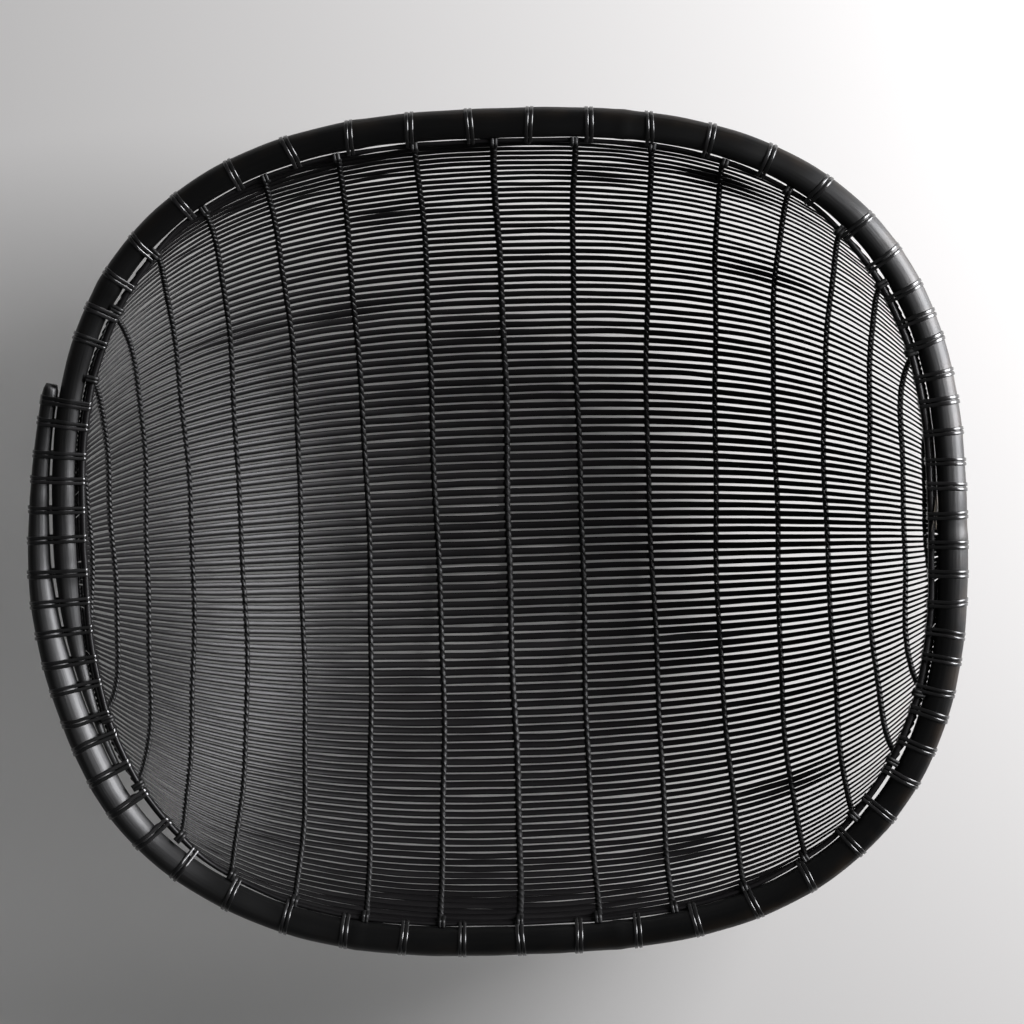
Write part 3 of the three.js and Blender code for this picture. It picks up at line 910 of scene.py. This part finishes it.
def waves(t, terms):
    """Sum of sines over t, each given as (height, rate, start)."""
    return sum(height * np.sin(t * rate + start) for height, rate, start in terms)


def line_size(number, rod):
    """Size of both strands along a line: less for lines further out, times a small wave along it."""
    uneven = 1 + STRAND_UNEVEN * np.sin(rod * 1.7 + number * 3 + np.array([[0.0], [2.0]]))
    return uneven * (MIDDLE_LINE_SIZE if number == 0 else 1 - LINE_SLIMMING * abs(number))


print("middle line's width (mm):", round(2 * STRAND_HALF_WIDE * MIDDLE_LINE_SIZE / MM, 2))


# %% Twining lines
def twined_line(number):
    """Rings of both strands of one line, (2, rings, corners, 3)."""
    x0 = float(line_x(number))
    hook = line_hook(number)
    first, last = rods_crossed(np.array(x0 + hook))
    steps = int((last - first + 2 * STRAND_OVERRUN) * STEPS_PER_ROD)
    rod = np.linspace(first - STRAND_OVERRUN, last + STRAND_OVERRUN, steps)
    sway = waves(rod, [(LINE_SWAY, 0.11, number * 2.1), (LINE_TREMOR, 0.31, number)])
    to_rim = np.abs(2 * (rod - first) / (last - first) - 1)
    x = x0 + sway + hook * to_rim**HOOK_POWER
    middle = wall_points(rod_place(rod), x)
    lift = wall_normal(middle[:, 0], middle[:, 1])
    outward = 1 if x0 >= 0 else -1
    along = unit(wall_points(rod_place(rod), x - outward * MM) - middle) * -outward
    angle = np.pi * (rod + np.array([[0.0], [1.0]]))
    up, side = np.cos(angle)[..., None], np.sin(angle)[..., None]
    path = middle + up * STRAND_LIFT * lift + side * STRAND_SHIFT * along
    thick = unit(up * lift * STRAND_FLATNESS + side * along)
    wide = unit(np.cross(along_path(path), thick))
    size = line_size(number, rod)
    return sweep(path, wide, thick, STRAND_HALF_WIDE * size, STRAND_HALF_THICK * size, STRAND_PROFILE)


for line in range(-LINE_PLACES_PER_SIDE, LINE_PLACES_PER_SIDE + 1):
    mark = f"{line + LINES_PER_SIDE + 1:02d}"
    inside = abs(line) <= LINES_PER_SIDE
    nodes = [f"twining_inner_{mark}", f"twining_outer_{mark}"] if inside else []
    name = f"twining_{mark}" if inside else ("twining_right_end" if line > 0 else "twining_left_end")
    tone = chance.normal(0, STRAND_TONE, (2, 1, 1))
    tube_piece(name, twined_line(line), TWINE_CANE, nodes, tone=tone)
print("twining lines:", 2 * LINE_PLACES_PER_SIDE + 1)

# %% [markdown]
# ## The course of the rim pole
# The pole is one thick cane bent round the outside of the rod tips. It thins towards both ends,
# and its butt overlaps its own thin end on the left. Its middle line is the wall's edge pushed
# out along the edge's own normal, with the radius and the push worked out by angle, so the butt
# lies on the thin end wherever the two run side by side.

# %% Points at the rim
UP = np.array([0.0, 0.0, 1.0])


def directions(angle):
    """Unit vectors in a plane at these angles: the cosine and the sine."""
    return np.stack([np.cos(angle), np.sin(angle)], axis=-1)


def edge_at(degrees):
    """Points of the wall's edge at these angles, at the pole's height, and the way out from them."""
    ray = directions(np.radians(degrees))
    ray = ray / rho(ray[..., 0], ray[..., 1])[..., None]
    out = unit(np.stack(plan_slope(ray[..., 0], ray[..., 1]), axis=-1))
    level = np.zeros(ray.shape[:-1] + (1,))
    return np.concatenate([ray, level], axis=-1), np.concatenate([out, level], axis=-1)


def at_rim(degrees, aside, level):
    """Points so far outside the wall's edge and so far above it, and the way out at each."""
    edge, out = edge_at(degrees)
    return edge + out * aside[..., None] + UP * level[..., None], out


print("way out at the right:", edge_at(np.array([0.0]))[1][0])

# %% Course of the pole
POLE_RADIUS = 8.7 * MM
POLE_BUTT_RADIUS = 4.6 * MM
POLE_BUTT_DEG = 40
POLE_TIP_RADIUS = 2 * MM
POLE_TIP_DEG = 30
POLE_SLIM_RADIUS = 7 * MM
POLE_SLIM_DEG = 60
POLE_LAYER_GAP = 0.8 * MM
POLE_BOW = 1.3 * MM
POLE_BOW_DEG = 42
POLE_START_DEG = 159
POLE_OVERLAP_DEG = 50
POLE_EASE_DEG = 24
POLE_END_DEG = POLE_START_DEG + 360 + POLE_OVERLAP_DEG
POLE_FACE = ROD_THICKNESS / 2 + SEAT


def pole_radius(degrees):
    """Radius along the pole: the butt swells to the full size, the far end is slim and ends in a tip."""
    from_butt = smooth_step((degrees - POLE_START_DEG) / POLE_BUTT_DEG)
    from_tip = smooth_step((POLE_END_DEG - degrees) / POLE_TIP_DEG)
    from_splice = smooth_step((POLE_END_DEG - POLE_OVERLAP_DEG - degrees) / POLE_SLIM_DEG)
    butt = POLE_BUTT_RADIUS + (POLE_RADIUS - POLE_BUTT_RADIUS) * from_butt
    far_end = POLE_TIP_RADIUS + (POLE_SLIM_RADIUS - POLE_TIP_RADIUS) * from_tip
    return np.minimum(butt, far_end + (POLE_RADIUS - POLE_SLIM_RADIUS) * from_splice)


def pole_offset(degrees):
    """How far the pole's middle lies outside the wall's edge; the butt bows out beyond the tip."""
    past = degrees - POLE_START_DEG
    bowed = np.sin(np.pi * np.clip(past / POLE_BOW_DEG, 0, 1)) ** 2
    under = 2 * pole_radius(np.minimum(degrees + 360, POLE_END_DEG)) + POLE_LAYER_GAP + POLE_BOW * bowed
    outside = under * (1 - smooth_step((past - POLE_OVERLAP_DEG) / POLE_EASE_DEG))
    doubled = past <= POLE_OVERLAP_DEG + POLE_EASE_DEG
    return POLE_FACE + pole_radius(degrees) + np.where(doubled, outside, 0)


print("pole from", POLE_START_DEG, "to", POLE_END_DEG, "degrees")

# %% [markdown]
# ## Rim pole
# A cane has joints, and they show as low swellings at even steps. The butt is a little rounded
# where it was cut. Hands wear the outer side most, which is a number on each point: the corner's
# direction in the section times a share that is largest on the right.

# %% Pole
POLE_RINGS = 620
POLE_SIDES = 28
POLE_JOINTS = 11
FIRST_JOINT_DEG = 14
JOINT_STEP_DEG = 37
JOINT_HALF_DEG = 0.8
JOINT_SWELL = 0.04
BUTT_ROUND_DEG = 1.2
BUTT_FLAT = 0.72
POLE_WAVES = [(0.02, 0.13, 0), (0.012, 0.71, 1)]
WORN_WAY = np.array([0.9, 0.25])
WORN_LEAST = 0.35
WORN_TURN_DEG = 20


def circle(sides):
    """Corners of a unit circle, counter-clockwise from the first axis."""
    return directions(np.linspace(0, 2 * np.pi, sides, endpoint=False))


def make_pole():
    """Rings of the pole, with its joints as low swellings and a rounded butt, and where it is worn."""
    degrees = np.linspace(POLE_START_DEG, POLE_END_DEG, POLE_RINGS)
    joints = POLE_START_DEG + FIRST_JOINT_DEG + np.arange(POLE_JOINTS) * JOINT_STEP_DEG
    swell = np.exp(-(((degrees[:, None] - joints) / JOINT_HALF_DEG) ** 2)).sum(axis=1)
    uneven = 1 + waves(degrees, POLE_WAVES)
    rounded = np.sqrt(np.clip((degrees - POLE_START_DEG) / BUTT_ROUND_DEG, 0, 1))
    radius = pole_radius(degrees) * (uneven + JOINT_SWELL * swell)
    radius = radius * (BUTT_FLAT + (1 - BUTT_FLAT) * rounded)
    path, out = at_rim(degrees, pole_offset(degrees), 0 * degrees)
    profile = circle(POLE_SIDES)
    rings = sweep(path, out, UP, radius, radius, profile)
    facing = np.clip(profile @ WORN_WAY, 0, 1) ** 2
    right = np.clip(np.cos(np.radians(degrees + WORN_TURN_DEG)), 0, 1)
    side = WORN_LEAST + (1 - WORN_LEAST) * right
    return rings[None], (facing * side[:, None])[None]


pole_rings, pole_wear = make_pole()
tube_piece("pole", pole_rings, POLE_CANE, ["rim_pole"], wear=pole_wear)
print("pole rings:", pole_rings.shape[1])

# %% [markdown]
# ## Hoop
# The hoop is a slim split cane on edge. It presses the tips outwards at both ends and lies against
# the pole along the sides, where no tips come up. One function gives its section by the way out
# from the edge, because the lashing and the line ends have to go round the same section.

# %% Hoop
HOOP_HALF_WIDE = 1.9 * MM
HOOP_SIDE_HALF_WIDE = 1.3 * MM
HOOP_HALF_HIGH = 2.9 * MM
HOOP_RISE = 0.5 * MM
HOOP_SIDE_RISE = -2.2 * MM
HOOP_SEAT = 0.1 * MM
HOOP_SIDE_FROM = 0.62
HOOP_SIDE_EASE = 0.22
HOOP_RINGS = 400
HOOP_SIDES = 12
HOOP_SQUARENESS = 0.6
HOOP_UNEVEN = 0.06
HOOP_WAVES = [(0.3 * MM, 9, 0), (0.25 * MM, 23, 0)]


def hoop_section(out):
    """Middle (out, up) and half width of the hoop: inside the tips at the ends, by the pole beside them."""
    beside = smooth_step((np.abs(out[..., 1]) - HOOP_SIDE_FROM) / HOOP_SIDE_EASE)
    half_wide = HOOP_HALF_WIDE + (HOOP_SIDE_HALF_WIDE - HOOP_HALF_WIDE) * beside
    tips_face = -ROD_THICKNESS / 2 - HOOP_SEAT
    outer_face = tips_face + (POLE_FACE - HOOP_SEAT - tips_face) * beside
    return outer_face - half_wide, HOOP_RISE + (HOOP_SIDE_RISE - HOOP_RISE) * beside, half_wide


def make_hoop():
    """Rings of the hoop: a squared circle drawn a little in and out, and up and down, round the rim."""
    degrees = np.linspace(0, 360, HOOP_RINGS, endpoint=False)
    middle, level, half_wide = hoop_section(edge_at(degrees)[1])
    angle = np.radians(degrees)
    drift = waves(angle, HOOP_WAVES)
    path, out = at_rim(degrees, middle - np.abs(drift), level + drift)
    profile = np.sign(circle(HOOP_SIDES)) * np.abs(circle(HOOP_SIDES)) ** HOOP_SQUARENESS
    size = 1 + HOOP_UNEVEN * np.sin(angle * 5)
    return sweep(path, out, UP, half_wide * size, HOOP_HALF_HIGH * size, profile)[None]


hoop_rings = make_hoop()
tube_piece("hoop", hoop_rings, ROD_CANE, ["rim_hoop"], closed=True)
print("hoop rings:", hoop_rings.shape[1])

# %% [markdown]
# ## Frayed end of the hoop
# On the right the hoop's end is split and frayed, so four thin splinters lie there. They start
# apart over the hoop and run together into the slot between hoop and pole. Their free ends are
# paler, which the attribute wear says.

# %% Splinters
FRAY_DEG = -1.2
FRAY_LENGTH_DEG = 17
FRAY_RINGS = 60
FRAY_SIDES = 8
FRAY_STARTS_DEG = np.array([[0.0], [1.2], [0.4], [1.8]])
FRAY_APART = np.array([[-3.3], [-2.1], [-0.9], [0.2]]) * MM
FRAY_GATHER_DEG = 4.5
FRAY_SLOT = 0.1 * MM
FRAY_LEVEL = 3.75 * MM
FRAY_LEAN = 0.3
FRAY_SIZE = 0.5 * MM
FRAY_WAVE = 0.08 * MM


def make_hoop_end():
    """Rings of four splinters that run together into the slot, and wear at their free ends."""
    start = FRAY_DEG + FRAY_STARTS_DEG
    degrees = start + (FRAY_LENGTH_DEG + FRAY_DEG - start) * np.linspace(0, 1, FRAY_RINGS)
    gathered = smooth_step((degrees - start) / FRAY_GATHER_DEG)
    aside = FRAY_SLOT + FRAY_APART * (1 - gathered)
    wave = waves(degrees, [(FRAY_WAVE, 2.3, FRAY_APART * 900)])
    level = FRAY_LEVEL + FRAY_LEAN * (aside - FRAY_APART.min()) + wave
    path, out = at_rim(degrees, aside, level)
    to_tail = FRAY_DEG + FRAY_LENGTH_DEG - degrees
    slim = np.minimum(smooth_step((degrees - start) / 1.5), smooth_step(to_tail / 3))
    size = FRAY_SIZE * (0.3 + 0.7 * slim)
    return sweep(path, out, UP, size, size * 0.8, circle(FRAY_SIDES)), 1 - gathered[..., None]


fray_rings, fray_wear = make_hoop_end()
tube_piece("hoop_end", fray_rings, FRAYED_CANE, [], wear=fray_wear)
print("splinters:", len(fray_rings))

# %% [markdown]
# ## Places of the lashing
# A flat strip of cane binds pole and hoop together. Its places are close together at the two ends
# and wider apart along the sides, and each turn passes through a space between two rods. So the
# places are first stepped off along the rim and then moved to the nearest space.

# %% Lashing places
END_SPACING = 17 * MM
SIDE_SPACING = 35 * MM
SIDE_FROM = 0.35
SIDE_EASE = 0.6
FIRST_PLACE = 0.8
BUTT_NEAR_DEG = 3
BUTT_LASH_DEG = 1.6
SPACE_NEAR_DEG = 0.6
LASH_CROSSING = 8.4 * MM


def nearest_space(wished):
    """Moves each angle to the nearest space between two rods at the rim, if one is close."""
    place = rod_place(np.arange(RODS - 1) + 0.5)
    ends = edge_meeting(lambda x: place, len(place))
    x = halving(0 * ends, ends, lambda x: wall_points(place, x)[:, 2] < -LASH_CROSSING)
    crossing = wall_points(place, x)
    right_side = np.degrees(np.arctan2(crossing[:, 1], crossing[:, 0]))
    left_side = np.degrees(np.arctan2(crossing[:, 1], -crossing[:, 0]))
    spaces = np.concatenate([right_side, left_side])
    nearest = spaces[np.abs(spaces[None] - wished[:, None]).argmin(axis=1)]
    return np.where(np.abs(nearest - wished) < SPACE_NEAR_DEG, nearest, wished)


def rim_stations():
    """Angles of the turns: the rim's length over the local spacing, counted, at each whole step."""
    degrees = np.linspace(-180, 180, 7201)
    edge, out = edge_at(degrees)
    length = np.linalg.norm(np.diff(edge, axis=0), axis=-1)
    wide = smooth_step((np.abs(out[:, 1]) - SIDE_FROM) / SIDE_EASE)
    spacing = END_SPACING + (SIDE_SPACING - END_SPACING) * wide
    count = np.concatenate([[0], (length / spacing[1:]).cumsum()])
    wished = np.interp(np.arange(FIRST_PLACE, count[-1]), count, degrees)
    at_butt = np.abs(wished - POLE_START_DEG) < BUTT_NEAR_DEG
    return nearest_space(np.where(at_butt, POLE_START_DEG + BUTT_LASH_DEG, wished))


stations = rim_stations()
print("lashed places:", len(stations))

# %% [markdown]
# ## Turns of the lashing
# A strip pulled tight follows the outline of what it holds: the convex outline round the pole and
# the hoop. For any outward direction, the point of that outline is on whichever circle reaches
# furthest that way, so a turn is one argmax over directions. A cloth or rope simulation would find
# the same line far more slowly.

# %% Turns round the rim
LASH_HALF_THICK = 0.32 * MM
LASH_SEAT = 0.1 * MM
LASH_WAYS = 145
TURN_STEPS = 96
HOOP_CORNER = 0.8 * MM


def held_circles(place):
    """Circles that a turn goes round, as (out, up, radius): the pole's layers and the hoop's corners."""
    inner = np.where(place <= POLE_START_DEG + POLE_OVERLAP_DEG, place + 360, place)
    corner = np.full(place.shape, HOOP_CORNER)
    middle, level, half_wide = hoop_section(edge_at(place)[1])
    hoop = middle - half_wide + corner
    top = level + HOOP_HALF_HIGH - corner
    bottom = level - HOOP_HALF_HIGH + corner
    return np.stack([
        np.stack([pole_offset(place), place * 0, pole_radius(place)], axis=-1),
        np.stack([pole_offset(inner), place * 0, pole_radius(inner)], axis=-1),
        np.stack([hoop, top, corner], axis=-1),
        np.stack([hoop, bottom, corner], axis=-1),
    ], axis=1)


def lash_turns(degrees):
    """Turns at these angles, evenly stepped: points (out, up), and the outward direction at each."""
    circles = held_circles(POLE_START_DEG + (degrees - POLE_START_DEG) % 360)
    turns = np.linspace(0, 2 * np.pi, LASH_WAYS)
    ways = directions(turns)
    reach = circles[..., :2] @ ways.T + circles[..., 2:]
    furthest = reach.argmax(axis=1)
    held = np.take_along_axis(circles, furthest[..., None].repeat(3, axis=-1), axis=1)
    flat = held[..., :2] + (held[..., 2:] + LASH_HALF_THICK + LASH_SEAT) * ways
    length = running(np.linalg.norm(np.diff(flat, axis=1), axis=-1))
    even = [np.linspace(0, own[-1], TURN_STEPS, endpoint=False) for own in length]
    rows = zip(even, length, flat)
    flat = np.array([[np.interp(e, own, f) for f in points.T] for e, own, points in rows])
    angle = np.array([np.interp(e, own, turns) for e, own in zip(even, length)])
    return flat.transpose(0, 2, 1), directions(angle)


right_turn = lash_turns(np.array([0.0]))[0]
right_steps = np.linalg.norm(np.diff(right_turn, axis=1), axis=-1)
print("length of the turn at the right (mm):", round(right_steps.sum() / MM))

# %% [markdown]
# ## Lashing
# There are two turns at each place. Below the rim both are pinched together, because they pass
# between the same two rods, and a small seeded lean and size keep any two from being alike.

# %% Lashing
LASH_HALF_WIDE = 1.1 * MM
LASH_PAIR_GAP = 2.8 * MM
LASH_LEAN = 0.7 * MM
LASH_PINCH = 2.6 * MM
PINCH_DEPTH = 4 * MM
LASH_PROFILE = np.array([
    [-1, -0.4], [-0.8, -1], [0.8, -1], [1, -0.4], [0.9, 0.6], [0.55, 1], [-0.55, 1], [-0.9, 0.6],
])
LASH_LENGTHS = {"right": (-45, 45), "back": (45, 135), "left": (135, 225), "front": (225, 315)}


def two_strips(path, along, shifts, *others):
    """A strip doubled: its path moved along the rim by each shift, and every other array twice."""
    both = np.concatenate([path + np.asarray(shift)[..., None] * along for shift in shifts])
    return [both, *(np.concatenate([values, values]) for values in (along, *others))]


def lashing(name, degrees, node):
    """Two turns side by side at each place, none quite square or quite alike."""
    flat, ways = lash_turns(degrees)
    path, out = at_rim(degrees[:, None], flat[..., 0], flat[..., 1])
    along = np.cross(UP, out)
    thick = out * ways[..., :1] + UP * ways[..., 1:]
    count = len(degrees)
    below = smooth_step(-flat[..., 1] / PINCH_DEPTH) * np.exp(-((flat[..., 0] / LASH_PINCH) ** 2))
    lean = chance.normal(0, LASH_LEAN, (count, 1)) * ways[..., 0] * (1 - below)
    pair = LASH_PAIR_GAP / 2 * chance.uniform(0.9, 1.1, (count, 1)) * (1 - 0.8 * below)
    size = chance.uniform(0.88, 1.08, (count, 1)) * (1 - 0.7 * below)
    both, along, thick, size = two_strips(path, along, [lean + pair, lean - pair], thick, size)
    rings = sweep(both, along, thick, LASH_HALF_WIDE * size, LASH_HALF_THICK, LASH_PROFILE)
    tone = chance.normal(0.05, 0.12, (2 * count, 1, 1))
    return tube_piece(name, rings, LASH_CANE, [node], closed=True, tone=tone)


for side, (low, high) in LASH_LENGTHS.items():
    on_side = (stations - low) % 360 + low
    lashing(f"lash_{side}", on_side[on_side < high], f"lashing_{side}")
print("turns of the lashing:", 2 * len(stations))

# %% [markdown]
# ## Line ends
# Each line's two strands finish at the rim: they come up inside the hoop, cross it and are cut off
# against the pole. Seen from above they are short dark bars. The bars are one path drawn in the
# rim's cross-section and set down where the line meets the edge. The hoop's section changes round
# the rim, so each bar is moved in to its inner face and up to its top.

# %% Path of a line end
TIE_HALF_WIDE = 1.3 * MM
TIE_HALF_THICK = 0.7 * MM
TIE_ROOM = 0.5 * MM
TIE_STEPS = 40
TIE_FACE = -2.4 * MM
TIE_SMOOTHING = np.array([0.25, 0.5, 0.25])
TIE_ROUNDS = 4


def tie_path():
    """Points (out, up) from the wall below the side's hoop, up its inner face and across its top."""
    face = TIE_FACE - TIE_HALF_THICK - TIE_ROOM
    top = HOOP_SIDE_RISE + HOOP_HALF_HIGH + TIE_HALF_THICK + TIE_ROOM
    corners = np.array([
        [-2.2 * MM, -14 * MM], [-3.2 * MM, -9 * MM], [face, -5 * MM], [face, -1 * MM],
        [face + 0.4 * MM, top], [-0.9 * MM, top], [0.9 * MM, top],
    ])
    length = running(np.linalg.norm(np.diff(corners, axis=0), axis=1)[None])[0]
    steps = np.linspace(0, length[-1], TIE_STEPS)
    path = np.stack([np.interp(steps, length, side) for side in corners.T], axis=-1)
    for _ in range(TIE_ROUNDS):
        inner = np.stack([np.convolve(side, TIE_SMOOTHING, "valid") for side in path.T], axis=-1)
        path = np.concatenate([path[:1], inner, path[-1:]])
    return path


print("a line end reaches up to (mm):", round(tie_path()[:, 1].max() / MM, 2))

# %% Line ends
TIE_CLEARANCE = 0.3 * MM
TIE_PAIR = 0.8


def moved_to_hoop(out):
    """How far (out, up) each step of a bar moves: to the hoop's inner face, then up to its top."""
    middle, level, half_wide = hoop_section(out)
    inward = np.minimum(middle - half_wide * (1 + HOOP_UNEVEN) - TIE_CLEARANCE - TIE_FACE, 0)
    passed = smooth_step(np.linspace(-0.1, 1.4, TIE_STEPS))
    across = smooth_step(np.linspace(-2.2, 1, TIE_STEPS))
    return np.stack([inward * (1 - across) * passed, (level - HOOP_SIDE_RISE) * passed], axis=-1)


def make_ties():
    """Rings of the ends of all lines, two strands at each end."""
    number = np.arange(-LINES_PER_SIDE, LINES_PER_SIDE + 1)
    x = line_x(number) + line_hook(number)
    y = HALF_WIDTH * (1 - (np.abs(x) / HALF_LENGTH) ** OUTLINE_POWER) ** (1 / OUTLINE_POWER)
    degrees = np.degrees(np.arctan2(np.concatenate([y, -y]), np.concatenate([x, x])))[:, None]
    flat = tie_path() + moved_to_hoop(edge_at(degrees)[1])
    path, out = at_rim(degrees, flat[..., 0], flat[..., 1])
    travel = along_path(flat)
    thick = out * travel[..., 1:] - UP * travel[..., :1]
    apart = TIE_HALF_WIDE * TIE_PAIR
    both, along, thick = two_strips(path, np.cross(UP, out), [apart, -apart], thick)
    size = chance.uniform(0.85, 1.1, (len(both), 1))
    return sweep(both, along, thick, TIE_HALF_WIDE * size, TIE_HALF_THICK * size, STRAND_PROFILE)


tie_rings = make_ties()
tube_piece("line_ends", tie_rings, TWINE_CANE, [])
print("line ends:", len(tie_rings) // 2)

# %% [markdown]
# ## Floor
# A plain pale floor lies under the belly. It adds a little light of its own for the camera and for
# reflections, so that it stays pale between the rods, and still takes the shadow. A brighter lamp
# would do that too, but it would also wash out the black cane.

# %% Floor
FLOOR_HALF = 4.0
FLOOR_DROP = 0.5 * MM
FLOOR_COLOUR = (0.80, 0.80, 0.785, 1.0)
FLOOR_GLOW = 0.085
FLOOR_GRAIN = 60.0


def pale_floor():
    """A matt pale finish, mixed with a little glow where the camera or a reflection sees it."""
    finish = Finish("floor_pale")
    grain = finish.noise(finish.node("TexCoord", output="Object"), FLOOR_GRAIN, detail=4.0)
    finish.set({"Base Color": FLOOR_COLOUR, "Roughness": 0.85 + grain * 0.1})
    seen = finish.node("LightPath", output="Is Camera Ray")
    seen = seen + finish.node("LightPath", output="Is Glossy Ray")
    seen = seen + finish.node("LightPath", output="Is Transmission Ray")
    glow = finish.node("Emission", sockets={"Color": FLOOR_COLOUR})
    matt = Field(finish.tree, finish.shader.outputs[0])
    mixed = finish.node("MixShader", sockets={0: seen.clamp() * FLOOR_GLOW, 1: matt, 2: glow})
    connect(finish.tree, finish.tree.nodes["Material Output"].inputs["Surface"], mixed)
    return finish.material


def add_floor():
    """A level square just under the part."""
    corners = [(-1, -1), (1, -1), (1, 1), (-1, 1)]
    mesh = bpy.data.meshes.new("floor")
    level = cad_box[0][2] - FLOOR_DROP
    mesh.from_pydata([(FLOOR_HALF * a, FLOOR_HALF * b, level) for a, b in corners], [], [(0, 1, 2, 3)])
    mesh.materials.append(pale_floor())
    floor = bpy.data.objects.new("floor", mesh)
    bpy.context.scene.collection.objects.link(floor)


add_floor()
print("floor (m):", 2 * FLOOR_HALF, "square")

# %% [markdown]
# ## Light
# Daylight comes from the right, so one large soft lamp stands there. A second one beyond it is only
# seen in reflections and gives the cane its sheen, so that the shadow and the highlights can be set
# apart. An even, dim sky fills the rest.

# %% Lamps
LAMPS = {
    "window": {"place": (1.14, 0.58, 0.88), "size": 0.75, "power": 33.5, "colour": (1.0, 0.98, 1.0)},
    "sheen": {"place": (1.72, 0.55, 0.85), "size": 1.4, "power": 130.0, "colour": (0.97, 0.97, 1.0)},
}
SKY_COLOUR = (0.95, 0.97, 1.0, 1.0)
SKY_STRENGTH = 0.045


def add_lamp(name, place, size, power, colour):
    """A square soft lamp that faces the basket's mouth."""
    data = bpy.data.lights.new(name, "AREA")
    data.size = size
    data.energy = power
    data.color = colour
    lamp = bpy.data.objects.new(name, data)
    lamp.location = place
    lamp.rotation_mode = "QUATERNION"
    lamp.rotation_quaternion = (Vector(place) - Vector(RIM)).to_track_quat("Z", "Y")
    bpy.context.scene.collection.objects.link(lamp)
    return lamp


def add_sky():
    """An even pale sky, dim enough that the lamps shape the cane."""
    world = bpy.data.worlds.new("studio")
    world.use_nodes = True
    background = world.node_tree.nodes["Background"]
    background.inputs["Color"].default_value = SKY_COLOUR
    background.inputs["Strength"].default_value = SKY_STRENGTH
    bpy.context.scene.world = world


add_sky()
window, sheen = (add_lamp(name, **values) for name, values in LAMPS.items())
window.visible_glossy = False
sheen.visible_diffuse = False
bpy.context.scene.view_settings.view_transform = "Standard"
print("lamps:", len(bpy.data.lights))
